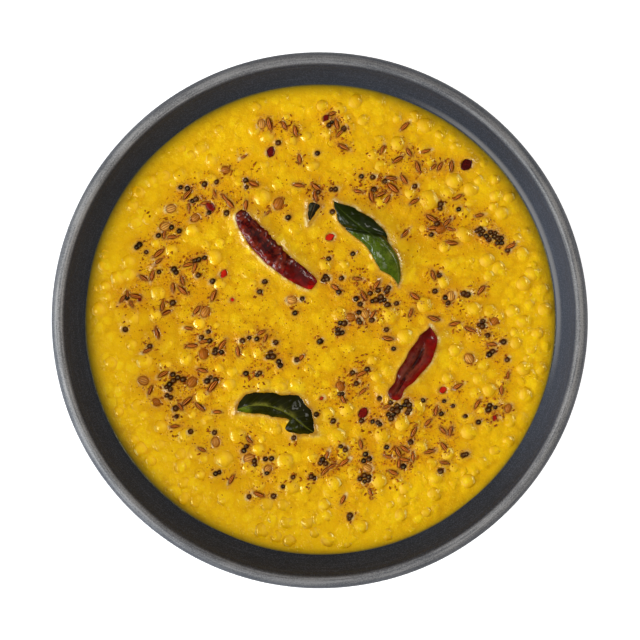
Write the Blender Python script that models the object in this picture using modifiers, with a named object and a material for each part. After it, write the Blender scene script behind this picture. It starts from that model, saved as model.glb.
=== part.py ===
"""Dal served in a dark stoneware bowl, with fried dried chillies and curry leaves lying in it.

The frame is in metres, +Z up, with the origin on the table at the middle of the bowl's foot.
The bowl and the dal are turned about +Z. The dal's top is a lumpy surface of soft lentils, and it
is hollowed round each piece of garnish that lies in it.
"""

import math
import random

import bmesh
import bpy
from mathutils import Vector, noise

MM = 0.001

# Bowl
RIM_RADIUS = 91.2 * MM
RIM_HEIGHT = 56.0 * MM
LIP_THICKNESS = 4.0 * MM
FLOOR_HEIGHT = 7.0 * MM
UNDERSIDE_HEIGHT = 3.0 * MM
FOOT_RADIUS = 44.0 * MM
FOOT_WIDTH = 5.0 * MM
FOOT_EDGE = 0.8 * MM
INSIDE_FULLNESS = (2.6, 1.2)  # exponents of the wall's superellipse, across and down
OUTSIDE_FULLNESS = (2.6, 1.17)
OUTSIDE_DEPTH = 51.5 * MM
TURNED_STEPS = 56
WALL_STEPS = 9
OUTSIDE_STEPS = 6
LIP_STEPS = 6  # an even count puts a point on the very top

# Dal
DAL_LEVEL = 43.0 * MM
CELL = 3.6 * MM
LENTIL_RADIUS = (3.0 * MM, 4.5 * MM)
LENTIL_HEIGHT = 1.0 * MM
LENTIL_COUNT = 230
LENTIL_SEED = 7
SWELL_HEIGHT = 0.5 * MM
SWELL_LENGTH = 22.0 * MM
BORDER_WIDTH = 6.0 * MM
BORDER_DROP = 0.9 * MM

# Garnish
GAP = 0.3 * MM  # clearance between solids that touch on the real thing
WRINKLE = 0.16  # how far a chilli's skin goes in and out, as a share of its width
WRINKLES_ALONG = 9.0
WRINKLES_AROUND = 2.0
GROOVE_WIDTH = 0.55  # radians round the chilli
LEAF_THICKNESS = 0.5 * MM
TIP_HALF_WIDTH = 0.6 * MM
LEAF_RIPPLE = 0.5 * MM
RIPPLES_ALONG = 7.0
RIPPLES_ACROSS = 1.5
RIDGE_FULLNESS = 1.6  # exponent of the hump across a leaf
RIDGE_TAPER = 1.3  # exponent of how the hump dies out toward a leaf's ends
BARB_WIDTH = 0.09  # share of a leaf's length

LIP_RADIUS = LIP_THICKNESS / 2
LIP_HEIGHT = RIM_HEIGHT - LIP_RADIUS
INSIDE_RADIUS = RIM_RADIUS - LIP_THICKNESS
INSIDE_DEPTH = LIP_HEIGHT - FLOOR_HEIGHT


# Scene, collections and materials


def clear_scene():
    for obj in list(bpy.data.objects):
        bpy.data.objects.remove(obj)


def new_collection(name):
    collection = bpy.data.collections.new(name)
    bpy.context.scene.collection.children.link(collection)
    return collection


def principled(name, colour, roughness):
    material = bpy.data.materials.new(name)
    material.use_nodes = True
    shader = material.node_tree.nodes["Principled BSDF"]
    shader.inputs["Base Color"].default_value = (*colour, 1.0)
    shader.inputs["Roughness"].default_value = roughness
    shader.inputs["Metallic"].default_value = 0.0
    return material


def add_object(name, mesh, collection, material=None):
    obj = bpy.data.objects.new(name, mesh)
    collection.objects.link(obj)
    if material:
        mesh.materials.append(material)
    return obj


def mesh_from(bm, name):
    mesh = bpy.data.meshes.new(name)
    bm.to_mesh(mesh)
    bm.free()
    mesh.shade_smooth()
    return mesh


def as_cutter(obj):
    obj.hide_render = True
    obj.display_type = "WIRE"
    return obj


def cut(obj, cutter):
    modifier = obj.modifiers.new(f"clear of {cutter.name}", "BOOLEAN")
    modifier.operation = "DIFFERENCE"
    modifier.solver = "EXACT"
    modifier.object = cutter


# Rules that shape the pieces


def smoothstep(x):
    x = min(max(x, 0.0), 1.0)
    return x * x * (3 - 2 * x)


def along(stations, t):
    """The value at t of a smooth line through (t, value) stations."""
    for (t0, low), (t1, high) in zip(stations, stations[1:]):
        if t <= t1:
            return low + (high - low) * smoothstep((t - t0) / (t1 - t0))
    return stations[-1][1]


def bell(x, width):
    """1 at 0, falling off over `width` on both sides."""
    return math.exp(-((x / width) ** 2))


def blunt(t, fullness=6):
    """0 at both ends of 0 to 1 and near 1 between them: how a fruit's end closes."""
    return max(0.0, 1 - abs(2 * t - 1) ** fullness) ** (1 / fullness)


def wall(radius, depth, fullness, steps, stop=0.0):
    """(radius, drop) points of a bowl's wall, from its floor or from the radius `stop` up to its rim."""
    across, down = fullness
    start = math.asin((stop / radius) ** (across / 2))
    points = []
    for i in range(steps + 1):
        angle = start + (math.pi / 2 - start) * i / steps
        points.append((radius * math.sin(angle) ** (2 / across), depth * math.cos(angle) ** (2 / down)))
    return points


# Turned pieces


def turned(name, profile, collection, material):
    """A profile of (radius, height) points, from the axis round to the axis, turned about +Z."""
    bm = bmesh.new()
    vertices = [bm.verts.new((radius, 0, height)) for radius, height in profile]
    for a, b in zip(vertices, vertices[1:]):
        bm.edges.new((a, b))
    obj = add_object(name, mesh_from(bm, name), collection, material)
    screw = obj.modifiers.new("turn", "SCREW")
    screw.axis = "Z"
    screw.steps = screw.render_steps = TURNED_STEPS
    screw.use_merge_vertices = True
    screw.merge_threshold = 0.00001
    screw.use_smooth_shade = True
    return obj


def lip_points():
    """The rounded lip, from the inside over to the outside."""
    middle = RIM_RADIUS - LIP_RADIUS
    angles = [math.pi * (1 - i / LIP_STEPS) for i in range(1, LIP_STEPS)]
    return [(middle + LIP_RADIUS * math.cos(a), LIP_HEIGHT + LIP_RADIUS * math.sin(a)) for a in angles]


def foot_points():
    """The foot ring, from its outer side round to its inner one, and the underside to the axis."""
    inner = FOOT_RADIUS - FOOT_WIDTH
    return [
        (FOOT_RADIUS, FOOT_EDGE),
        (FOOT_RADIUS - FOOT_EDGE, 0.0),
        (inner + FOOT_EDGE, 0.0),
        (inner, FOOT_EDGE),
        (inner - FOOT_EDGE, UNDERSIDE_HEIGHT),
        (0.0, UNDERSIDE_HEIGHT),
    ]


def make_bowl(collection):
    inside = wall(INSIDE_RADIUS, INSIDE_DEPTH, INSIDE_FULLNESS, WALL_STEPS)
    outside = wall(RIM_RADIUS, OUTSIDE_DEPTH, OUTSIDE_FULLNESS, OUTSIDE_STEPS, stop=FOOT_RADIUS)
    profile = [(radius, LIP_HEIGHT - drop) for radius, drop in inside]
    profile += lip_points()
    profile += [(radius, LIP_HEIGHT - drop) for radius, drop in reversed(outside)]
    profile += foot_points()
    return turned("bowl", profile, collection, principled("stoneware", (0.045, 0.045, 0.05), 0.5))


# Dal


def lentils():
    """Soft lentils near the surface: (x, y, radius, height) of each."""
    draw = random.Random(LENTIL_SEED)
    reach = INSIDE_RADIUS - BORDER_WIDTH - LENTIL_RADIUS[1]
    found = []
    for _ in range(LENTIL_COUNT):
        distance = reach * math.sqrt(draw.random())
        angle = draw.uniform(0, 2 * math.pi)
        x, y = distance * math.cos(angle), distance * math.sin(angle)
        height = LENTIL_HEIGHT * draw.uniform(0.4, 1.0)
        found.append((x, y, draw.uniform(*LENTIL_RADIUS), height))
    return found


def dal_height(x, y, surface_radius, lumps):
    """Height of the dal's top: a slow swell, the domes of the lentils, and a border that rolls down."""
    place = Vector((x, y, 0)) / SWELL_LENGTH
    height = DAL_LEVEL + SWELL_HEIGHT * noise.noise(place)
    dome = 0.0
    for lump_x, lump_y, radius, rise in lumps:
        distance = math.hypot(x - lump_x, y - lump_y) / radius
        if distance < 1:
            dome = max(dome, rise * (1 - distance**2))
    edge = smoothstep((math.hypot(x, y) - surface_radius + BORDER_WIDTH) / BORDER_WIDTH)
    return height + dome * (1 - edge) - BORDER_DROP * edge


def make_air(surface_radius, collection):
    """The space above the dal: a grid in the shape of its top, pulled up into a solid."""
    side = 2 * (surface_radius + 2 * CELL)
    cells = round(side / CELL)
    bm = bmesh.new()
    bmesh.ops.create_grid(bm, x_segments=cells, y_segments=cells, size=side / 2)
    lumps = lentils()
    for vertex in bm.verts:
        vertex.co.z = dal_height(vertex.co.x, vertex.co.y, surface_radius, lumps)
    raised = bmesh.ops.extrude_face_region(bm, geom=bm.faces[:])
    top = [item for item in raised["geom"] if isinstance(item, bmesh.types.BMVert)]
    for vertex in top:
        vertex.co.z = RIM_HEIGHT
    bmesh.ops.recalc_face_normals(bm, faces=bm.faces[:])
    return as_cutter(add_object("air_above", mesh_from(bm, "air_above"), collection))


def make_dal(collection, cutters):
    """The dal fills the bowl to a gap from its wall, up to the cut of its lumpy top."""
    side = wall(INSIDE_RADIUS - GAP, INSIDE_DEPTH - GAP, INSIDE_FULLNESS, WALL_STEPS)
    top = LIP_HEIGHT - side[-2][1]
    profile = [(0.0, top)]
    profile += [(radius, LIP_HEIGHT - drop) for radius, drop in reversed(side[:-1])]
    material = principled("dal", (0.72, 0.42, 0.02), 0.25)
    dal = turned("dal", profile, collection, material)
    cut(dal, make_air(INSIDE_RADIUS, cutters))
    return dal


# Garnish


def place(obj, x, y, z, turn):
    obj.location = (x * MM, y * MM, DAL_LEVEL + z * MM)
    obj.rotation_euler.z = math.radians(turn)


def bowed(length, bow, peak):
    """A centre line from 0 to `length` along X that swings out by `bow` at `peak` of its length."""
    rise, fall = (peak / (1 - peak), 1.0) if peak > 0.5 else (1.0, (1 - peak) / peak)
    most = peak**rise * (1 - peak) ** fall

    def point(t):
        inside = min(max(t, 0.0), 1.0)
        return Vector((length * t, bow * inside**rise * (1 - inside) ** fall / most, 0))

    return point


def side_of(line, t, step=0.01):
    """The direction to the left of a centre line at t."""
    ahead = (line(t + step) - line(t - step)).normalized()
    return Vector((-ahead.y, ahead.x, 0))


def chilli_mesh(name, length, bow, peak, half_widths, flatness, groove, grow=0.0):
    """A dried chilli lying along X: a round primitive drawn out along its centre line, with wrinkled
    skin, and a sunk groove along its top."""
    line = bowed(length, bow, peak)
    bm = bmesh.new()
    bmesh.ops.create_uvsphere(bm, u_segments=12, v_segments=18, radius=1)
    for vertex in bm.verts:
        t = (1 + vertex.co.z) / 2
        around = math.atan2(vertex.co.y, vertex.co.x)
        round_skin = Vector((0, math.cos(around), math.sin(around))) * WRINKLES_AROUND
        wrinkle = 1 + WRINKLE * noise.noise(round_skin + Vector((t * WRINKLES_ALONG, 0, 0)))
        sunk = groove * bell(around - math.pi / 2, GROOVE_WIDTH) * smoothstep(6 * t * (1 - t))
        width = along(half_widths, t) * blunt(t) * wrinkle + grow * blunt(t)
        out = width * math.cos(around)
        up = width * flatness * math.sin(around) * (1 - sunk)
        end = grow * (2 * t - 1)
        vertex.co = line(t) + side_of(line, t) * out + Vector((end, 0, up))
    return mesh_from(bm, name)


def leaf_surface(name, length, bow, peak, left, right, ridge, cells, barb=(0.0, 0.0), grow=0.0):
    """A fried leaf lying along X: an open sheet, humped along its midrib. `left` and `right` are
    its widths on either side. `barb` is (t, how far the right edge points back there)."""
    line = bowed(length, bow, peak)
    widest = max(along(left, i / 20) + along(right, i / 20) for i in range(21))
    bm = bmesh.new()
    bmesh.ops.create_grid(bm, x_segments=cells[0], y_segments=cells[1], size=1)
    for vertex in bm.verts:
        t = (vertex.co.x + 1) / 2
        width = along(left if vertex.co.y > 0 else right, t) + TIP_HALF_WIDTH
        across = vertex.co.y * (1 + grow / width)
        fullness = (along(left, t) + along(right, t)) / widest
        spot = Vector((t * RIPPLES_ALONG, across * RIPPLES_ACROSS, length / (10 * MM)))
        ripple = LEAF_RIPPLE * noise.noise(spot)
        height = fullness**RIDGE_TAPER * (ridge * (1 - abs(across) ** RIDGE_FULLNESS) + ripple)
        back = 0.0
        if across < 0 and barb[1]:
            back = barb[1] * across**2 * bell(t - barb[0], BARB_WIDTH)
        end = grow * vertex.co.x - back
        vertex.co = line(t) + side_of(line, t) * (across * width) + Vector((end, 0, height))
    return mesh_from(bm, name)


def thicken(obj, thickness):
    solidify = obj.modifiers.new("thickness", "SOLIDIFY")
    solidify.thickness = thickness
    solidify.offset = 0.0


def in_metres(stations):
    return [(t, value * MM) for t, value in stations]


# Each chilli: its length, sideways bow, the t of the bow's peak, half widths, flatness and groove.
CHILLIES = {
    "dried_chilli_long": {
        "shape": {
            "length": 37.0 * MM,
            "bow": -2.5 * MM,
            "peak": 0.5,
            "half_widths": in_metres(
                [(0, 2.0), (0.1, 2.5), (0.34, 3.8), (0.45, 3.4), (0.58, 3.9), (0.75, 3.4), (1, 2.9)]
            ),
            "flatness": 0.66,
            "groove": 0.35,
        },
        "place": (-28.2, 37.6, 0.9, -43.9),
        "colour": (0.075, 0.006, 0.01),
    },
    "dried_chilli_short": {
        "shape": {
            "length": 29.0 * MM,
            "bow": -2.2 * MM,
            "peak": 0.72,
            "half_widths": in_metres(
                [(0, 2.4), (0.1, 3.0), (0.18, 2.4), (0.36, 3.9), (0.62, 4.2), (0.85, 3.3), (1, 0.4)]
            ),
            "flatness": 0.6,
            "groove": 0.5,
        },
        "place": (24.6, -27.4, 0.9, 62.8),
        "colour": (0.17, 0.006, 0.008),
    },
}

# Each leaf: its length, sideways bow, widths to its left and right, the height of its midrib, and
# the cells of its sheet along and across.
LEAVES = {
    "curry_leaf_folded": {
        "shape": {
            "length": 35.7 * MM,
            "bow": 4.8 * MM,
            "peak": 0.7,
            "left": in_metres([(0, 0), (0.2, 3.1), (0.38, 4.0), (0.5, 3.5), (0.68, 1.0), (1, 0)]),
            "right": in_metres([(0, 0), (0.22, 3.3), (0.42, 3.4), (0.72, 5.4), (0.82, 5.3), (1, 0)]),
            "ridge": 2.9 * MM,
            "cells": (15, 4),
        },
        "place": (5.2, 40.5, 0.35, -53.2),
        "colour": (0.03, 0.06, 0.01),
    },
    "curry_leaf_crumpled": {
        "shape": {
            "length": 29.3 * MM,
            "bow": 4.6 * MM,
            "peak": 0.4,
            "left": in_metres([(0, 1.2), (0.15, 3.9), (0.42, 4.5), (0.6, 6.8), (0.75, 5.4), (1, 0)]),
            "right": in_metres([(0, 1.0), (0.2, 2.7), (0.42, 3.0), (0.66, 1.0), (0.77, 3.9), (1, 0)]),
            "ridge": 2.5 * MM,
            "cells": (15, 4),
            "barb": (0.76, 3.2 * MM),
        },
        "place": (-28.9, -31.0, 0.35, -15.8),
        "colour": (0.015, 0.03, 0.008),
    },
    "curry_leaf_scrap": {
        "shape": {
            "length": 7.9 * MM,
            "bow": 0.3 * MM,
            "peak": 0.5,
            "left": in_metres([(0, 0), (0.6, 1.3), (1, 2.0)]),
            "right": in_metres([(0, 0), (0.6, 1.2), (1, 1.9)]),
            "ridge": 0.7 * MM,
            "cells": (5, 2),
        },
        "place": (-3.8, 32.3, 0.4, 74.0),
        "colour": (0.05, 0.045, 0.015),
    },
}


def make_chilli(name, design, parts, cutters):
    mesh = chilli_mesh(name, **design["shape"])
    chilli = add_object(name, mesh, parts, principled(name, design["colour"], 0.25))
    place(chilli, *design["place"])
    room = chilli_mesh(f"room_for_{name}", **design["shape"], grow=GAP)
    cutter = as_cutter(add_object(room.name, room, cutters))
    place(cutter, *design["place"])
    return chilli, cutter


def make_leaf(name, design, parts, cutters):
    mesh = leaf_surface(name, **design["shape"])
    leaf = add_object(name, mesh, parts, principled(name, design["colour"], 0.3))
    thicken(leaf, LEAF_THICKNESS)
    place(leaf, *design["place"])
    room = leaf_surface(f"room_for_{name}", **design["shape"], grow=GAP)
    cutter = as_cutter(add_object(room.name, room, cutters))
    thicken(cutter, LEAF_THICKNESS + 2 * GAP)
    place(cutter, *design["place"])
    return leaf, cutter


def main():
    clear_scene()
    parts = new_collection("dal_in_bowl")
    cutters = new_collection("cutters")
    served = bpy.data.objects.new("served_dal", None)
    parts.objects.link(served)

    bowl = make_bowl(parts)
    dal = make_dal(parts, cutters)
    pieces = [bowl, dal]
    for name, design in CHILLIES.items():
        chilli, room = make_chilli(name, design, parts, cutters)
        cut(dal, room)
        pieces.append(chilli)
    for name, design in LEAVES.items():
        leaf, room = make_leaf(name, design, parts, cutters)
        cut(dal, room)
        pieces.append(leaf)
    for piece in pieces:
        piece.parent = served


main()
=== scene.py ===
"""The looks of a bowl of dal: dark stoneware, soft yellow lentils, fried garnish and scattered spice.

Everything is in metres in the frame of the CAD parts, +Z up, with the origin on the table under the
middle of the bowl. The dal is one closed solid whose lumpy top climbs a little at everything that
lies in it. Chillies and leaves are modelled in the boxes of their CAD solids.
"""

import logging
import math
import random
from dataclasses import dataclass, field
from enum import Enum
from typing import Any, Callable

import bmesh
import bpy
import numpy as np
from mathutils import Matrix, Vector, noise


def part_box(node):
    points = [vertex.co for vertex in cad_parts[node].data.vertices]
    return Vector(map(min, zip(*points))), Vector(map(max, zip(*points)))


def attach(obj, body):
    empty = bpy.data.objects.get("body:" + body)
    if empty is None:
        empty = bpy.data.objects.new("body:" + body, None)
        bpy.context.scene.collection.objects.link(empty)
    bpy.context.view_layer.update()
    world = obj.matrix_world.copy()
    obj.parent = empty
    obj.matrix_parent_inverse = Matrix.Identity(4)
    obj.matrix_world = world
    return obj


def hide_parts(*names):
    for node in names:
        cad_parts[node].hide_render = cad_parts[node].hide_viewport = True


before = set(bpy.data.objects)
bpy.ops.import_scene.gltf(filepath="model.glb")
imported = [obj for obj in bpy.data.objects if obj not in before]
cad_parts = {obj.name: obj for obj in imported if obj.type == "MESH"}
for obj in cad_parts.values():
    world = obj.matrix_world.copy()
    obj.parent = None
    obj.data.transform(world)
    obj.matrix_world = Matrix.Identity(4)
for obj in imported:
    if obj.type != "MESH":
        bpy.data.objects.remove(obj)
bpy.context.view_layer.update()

LOG = logging.getLogger("served_dal")
MM = 0.001

BLACK = (0.0, 0.0, 0.0)
LAMP_TURN = 0.44  # the lamps stand this far round from the X axis, on both sides, in radians

Array = np.ndarray
Pair = tuple[float, float]
Triple = tuple[float, float, float]
Colour = Triple
Stations = tuple[Pair, ...]
Line = Callable[[Array], Array]
Tone = Callable[[Array, Array], Array]
Values = dict[str, Array]


# Small rules of shape


def swatch(red: int, green: int, blue: int) -> Colour:
    """A colour given as it looks on a screen, from 0 to 255, made linear as a shader takes it."""
    shown = (channel / 255 for channel in (red, green, blue))
    return tuple(c / 12.92 if c <= 0.04045 else ((c + 0.055) / 1.055) ** 2.4 for c in shown)


def swatches(*shown: tuple[int, int, int]) -> list[Colour]:
    """Several such colours."""
    return [swatch(*one) for one in shown]


def smoothstep(x: Array) -> Array:
    """0 below 0, 1 above 1 and a smooth rise between them."""
    x = np.clip(x, 0.0, 1.0)
    return x * x * (3 - 2 * x)


def along(stations: Stations, t: Array) -> Array:
    """Reads a smooth line through stations.

    Args:
        stations: (t, value) pairs in order of t.
        t: where to read it.

    Returns:
        The values at t.
    """
    at, values = (np.array(column) for column in zip(*stations))
    left = np.clip(np.searchsorted(at, t, side="right") - 1, 0, len(at) - 2)
    rise = smoothstep((t - at[left]) / (at[left + 1] - at[left]))
    return values[left] + (values[left + 1] - values[left]) * rise


def bell(x: Array, width: float) -> Array:
    """1 at 0, falling off over `width` on both sides."""
    return np.exp(-((x / width) ** 2))


def rough(points: Array, size: float, offset: float = 0.0) -> Array:
    """Smooth noise at points of space.

    Args:
        points: an (n, 3) or (n, 2) array.
        size: about how wide its lumps are, in the unit of the points.
        offset: another value gives another pattern.

    Returns:
        One value for each point, between about -1 and 1.
    """
    padded = np.zeros((len(points), 3))
    padded[:, : points.shape[1]] = points / size
    padded += offset
    return np.array([noise.noise(point) for point in padded.tolist()])


def bowed(length: float, bow: float, peak: float) -> Line:
    """A centre line along X that swings out sideways.

    Args:
        length: how long it is.
        bow: how far it swings out to its left.
        peak: where along it the swing is widest, from 0 to 1.

    Returns:
        A function from t to (n, 2) points.
    """
    rise, fall = (peak / (1 - peak), 1.0) if peak > 0.5 else (1.0, (1 - peak) / peak)
    most = peak**rise * (1 - peak) ** fall

    def points(t: Array) -> Array:
        """The centre line at t."""
        inside = np.clip(t, 0.0, 1.0)
        return np.stack((length * t, bow * inside**rise * (1 - inside) ** fall / most), axis=-1)

    return points


def left_of(line: Line, t: Array) -> Array:
    """Unit vectors to the left of a centre line.

    Args:
        line: the centre line.
        t: where along it.

    Returns:
        One (x, y) vector for each t.
    """
    step = 0.01
    ahead = line(t + step) - line(t - step)
    ahead /= np.linalg.norm(ahead, axis=-1, keepdims=True)
    return np.stack((-ahead[..., 1], ahead[..., 0]), axis=-1)


def raise_to(values: Array, found: Array, least: Array) -> None:
    """Raises the found values to at least `least`, in place."""
    values[found] = np.maximum(values[found], least)


def mark(values: Values, found: Array, **levels: Array) -> None:
    """Raises named values at the found points to at least the given levels."""
    for name, least in levels.items():
        raise_to(values[name], found, least)


# Meshes and objects


def placed(name: str, data: Any) -> Any:
    """Puts a mesh, a lamp or a camera in the scene.

    Args:
        name: a name for the object.
        data: what it holds.

    Returns:
        The new object.
    """
    made = bpy.data.objects.new(name, data)
    bpy.context.scene.collection.objects.link(made)
    return made


def mesh_of(name: str, points: Array, faces: list, attributes: Values | None = None) -> Any:
    """Makes a smooth mesh.

    Args:
        name: its name.
        points: its (n, 3) vertices.
        faces: the corners of each face.
        attributes: values to keep at its vertices, by name.

    Returns:
        The new mesh.
    """
    mesh = bpy.data.meshes.new(name)
    mesh.from_pydata(points.tolist(), [], faces)
    mesh.shade_smooth()
    for key, values in (attributes or {}).items():
        kind, member = ("FLOAT_VECTOR", "vector") if values.ndim == 2 else ("FLOAT", "value")
        layer = mesh.attributes.new(key, kind, "POINT")
        layer.data.foreach_set(member, np.ravel(values).astype(np.float32))
    return mesh


def grid_faces(rows: int, columns: int, around: bool = False) -> list[tuple[int, int, int, int]]:
    """Quads between the points of a grid.

    Args:
        rows: how many rows of points it has.
        columns: how many points each row has.
        around: whether the last column joins the first.

    Returns:
        The corners of each quad.
    """
    row, column = np.meshgrid(np.arange(rows - 1), np.arange(columns - (not around)), indexing="ij")
    ahead = (column + 1) % columns
    near, far = row * columns, (row + 1) * columns
    corners = (near + column, far + column, far + ahead, near + ahead)
    return np.stack([corner.ravel() for corner in corners], axis=1).tolist()


def show(name: str, mesh: Any, slot: str, *nodes: str) -> None:
    """Puts a finished mesh in the scene as a piece of the object.

    Args:
        name: the piece's name.
        mesh: its mesh, already in place.
        slot: the record's material slot; not used.
        *nodes: the CAD nodes that it stands for.
    """
    piece = placed(name, mesh)
    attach(piece, "root")
    if nodes:
        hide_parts(*nodes)
    LOG.info("%s: %d triangles", name, sum(len(face.vertices) - 2 for face in mesh.polygons))


def evaluated_mesh(obj: Any, name: str) -> Any:
    """Applies an object's modifiers and removes the object.

    Args:
        obj: the object.
        name: a name for the mesh.

    Returns:
        The plain mesh that comes out.
    """
    graph = bpy.context.evaluated_depsgraph_get()
    mesh = bpy.data.meshes.new_from_object(obj.evaluated_get(graph), depsgraph=graph)
    mesh.name = name
    bpy.data.objects.remove(obj)
    return mesh


# Node graphs


def operator(operation: str, reflected: bool = False) -> Callable[["Socket", Any], "Socket"]:
    """Makes an operator of the Socket class, which adds one Math node.

    Args:
        operation: the node's operation.
        reflected: whether the socket is its second value.

    Returns:
        The method.
    """

    def method(self: "Socket", other: Any) -> "Socket":
        """The result of the operation."""
        first, second = (other, self) if reflected else (self, other)
        return self.graph.math(operation, first, second)

    return method


class Socket:
    """An output of a node that takes part in arithmetic."""

    __add__ = __radd__ = operator("ADD")
    __mul__ = __rmul__ = operator("MULTIPLY")
    __sub__ = operator("SUBTRACT")
    __rsub__ = operator("SUBTRACT", reflected=True)
    __truediv__ = operator("DIVIDE")
    __rtruediv__ = operator("DIVIDE", reflected=True)
    __mod__ = operator("MODULO")

    def __init__(self, graph: "Graph", output: Any) -> None:
        """Wraps one output socket of the graph."""
        self.graph = graph
        self.output = output

    def also(self, name: str) -> "Socket":
        """Another output of the same node."""
        return Socket(self.graph, self.output.node.outputs[name])


class Graph:
    """A node tree that is built one node at a time."""

    def __init__(self, tree: Any) -> None:
        """Starts on an existing node tree."""
        self.tree = tree

    def node(self, kind: str, sockets: dict | None = None, output: Any = 0, **settings: Any) -> Socket:
        """Adds a node.

        Args:
            kind: its type.
            sockets: values or links of its inputs, by name or number.
            output: the output to return.
            **settings: its properties, which are set first.

        Returns:
            That output of the new node.
        """
        made = self.tree.nodes.new(kind)
        for name, value in settings.items():
            setattr(made, name, value)
        for name, value in (sockets or {}).items():
            target = made.inputs[name]
            if isinstance(value, Socket):
                self.tree.links.new(value.output, target)
            elif target.type == "RGBA" and len(value) == 3:
                target.default_value = (*value, 1.0)
            else:
                target.default_value = value
        return Socket(self, made.outputs[output])

    def math(self, operation: str, first: Any, second: Any = 0.0) -> Socket:
        """A Math node on one value or two."""
        return self.node("ShaderNodeMath", {0: first, 1: second}, operation=operation)

    def vector(self, operation: str, *values: Any, **named: Any) -> Socket:
        """A Vector Math node.

        Args:
            operation: what it does.
            *values: its vectors.
            **named: its Scale, where it takes one.

        Returns:
            The resulting vector, or the number that comes of a length or a dot product.
        """
        output = "Value" if operation in ("LENGTH", "DOT_PRODUCT") else 0
        sockets = dict(enumerate(values)) | named
        return self.node("ShaderNodeVectorMath", sockets, output, operation=operation)

    def parts(self, vector: Socket) -> tuple[Socket, Socket, Socket]:
        """The X, Y and Z of a vector."""
        x = self.node("ShaderNodeSeparateXYZ", {0: vector})
        return x, x.also("Y"), x.also("Z")

    def joined(self, x: Any, y: Any, z: Any = 0.0) -> Socket:
        """A vector of an X, a Y and a Z."""
        return self.node("ShaderNodeCombineXYZ", {0: x, 1: y, 2: z})

    def noise(self, vector: Socket, scale: Any, detail: float, output: Any = 0) -> Socket:
        """A Noise Texture node at a vector."""
        sockets = {"Vector": vector, "Scale": scale, "Detail": detail}
        return self.node("ShaderNodeTexNoise", sockets, output)

    def rise(self, value: Socket, low: float, high: float) -> Socket:
        """0 where value is under low, 1 where it is over high, smooth between; low may be the larger."""
        sockets = {"Value": value, "From Min": low, "From Max": high}
        return self.node("ShaderNodeMapRange", sockets, interpolation_type="SMOOTHSTEP")

    def mix(self, first: Any, second: Any, factor: Any) -> Socket:
        """A colour between two colours."""
        return self.node("ShaderNodeMix", {0: factor, 6: first, 7: second}, 2, data_type="RGBA")


class Surface(Graph):
    """A material under construction, round one Principled shader."""

    def __init__(self, name: str, **constants: Any) -> None:
        """Starts a material.

        Args:
            name: the material's name.
            **constants: values of the shader's sockets, with _ for a space in the socket's name.
        """
        self.material = bpy.data.materials.new(name)
        self.material.use_nodes = True
        super().__init__(self.material.node_tree)
        self.shader = self.tree.nodes["Principled BSDF"]
        for key, value in constants.items():
            self.shader.inputs[key.replace("_", " ")].default_value = value

    def place(self) -> Socket:
        """The point's place in the frame."""
        return self.node("ShaderNodeTexCoord", output="Object")

    def kept(self, name: str) -> Socket:
        """A value kept on the mesh."""
        return self.node("ShaderNodeAttribute", output="Fac", attribute_name=name)

    def form(self) -> tuple[Socket, Socket, Socket]:
        """The place on a bit's own shape, kept on the mesh, from -1 to 1 along each of its axes."""
        return self.parts(self.node("ShaderNodeAttribute", output="Vector", attribute_name="form"))

    def level(self) -> tuple[Socket, Socket, Socket, Socket, Socket]:
        """Takes the point's place apart.

        Returns:
            Its X, Y and height, its level place as a vector, and its distance from the axis.
        """
        x, y, height = self.parts(self.place())
        flat = self.joined(x, y)
        return x, y, height, flat, self.vector("LENGTH", flat)

    def grain(self, size: float, detail: float = 2.0, roughness: float = 0.5) -> Socket:
        """Noise from 0 to 1, with lumps about `size` metres wide and finer layers on them."""
        sockets = {"Scale": 1 / size, "Detail": detail, "Roughness": roughness, "Vector": self.place()}
        return self.node("ShaderNodeTexNoise", sockets)

    def knobs(self, size: float, waver: float) -> Socket:
        """How far each point is from the middle of its knob, with knobs of one size strewn at random.

        Args:
            size: how far apart they are, in metres.
            waver: how far their outlines wander, in metres.

        Returns:
            The distance as a share of the size.
        """
        sway = self.noise(self.place(), 1.7 / size, 1.0, "Color")
        bent = self.vector("MULTIPLY_ADD", sway, (waver,) * 3, self.place())
        return self.node("ShaderNodeTexVoronoi", {"Vector": bent, "Scale": 1 / size}, "Distance")

    def bump(self, height: Socket, depth: float) -> Socket:
        """A normal bent by a height from 0 to 1 that stands for `depth` metres."""
        return self.node("ShaderNodeBump", {"Height": height, "Distance": depth, "Strength": 1.0})

    def feed(self, name: str, pattern: Socket) -> None:
        """Joins a pattern to one of the shader's sockets."""
        self.tree.links.new(pattern.output, self.shader.inputs[name])

    def finish(self, colour: Socket, roughness: Socket, normal: Socket | None = None) -> Any:
        """Joins the last patterns to the shader.

        Args:
            colour: the base colour.
            roughness: the roughness.
            normal: the bent normal, if any.

        Returns:
            The material.
        """
        self.feed("Base Color", colour)
        self.feed("Roughness", roughness)
        if normal:
            self.feed("Normal", normal)
        return self.material


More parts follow.
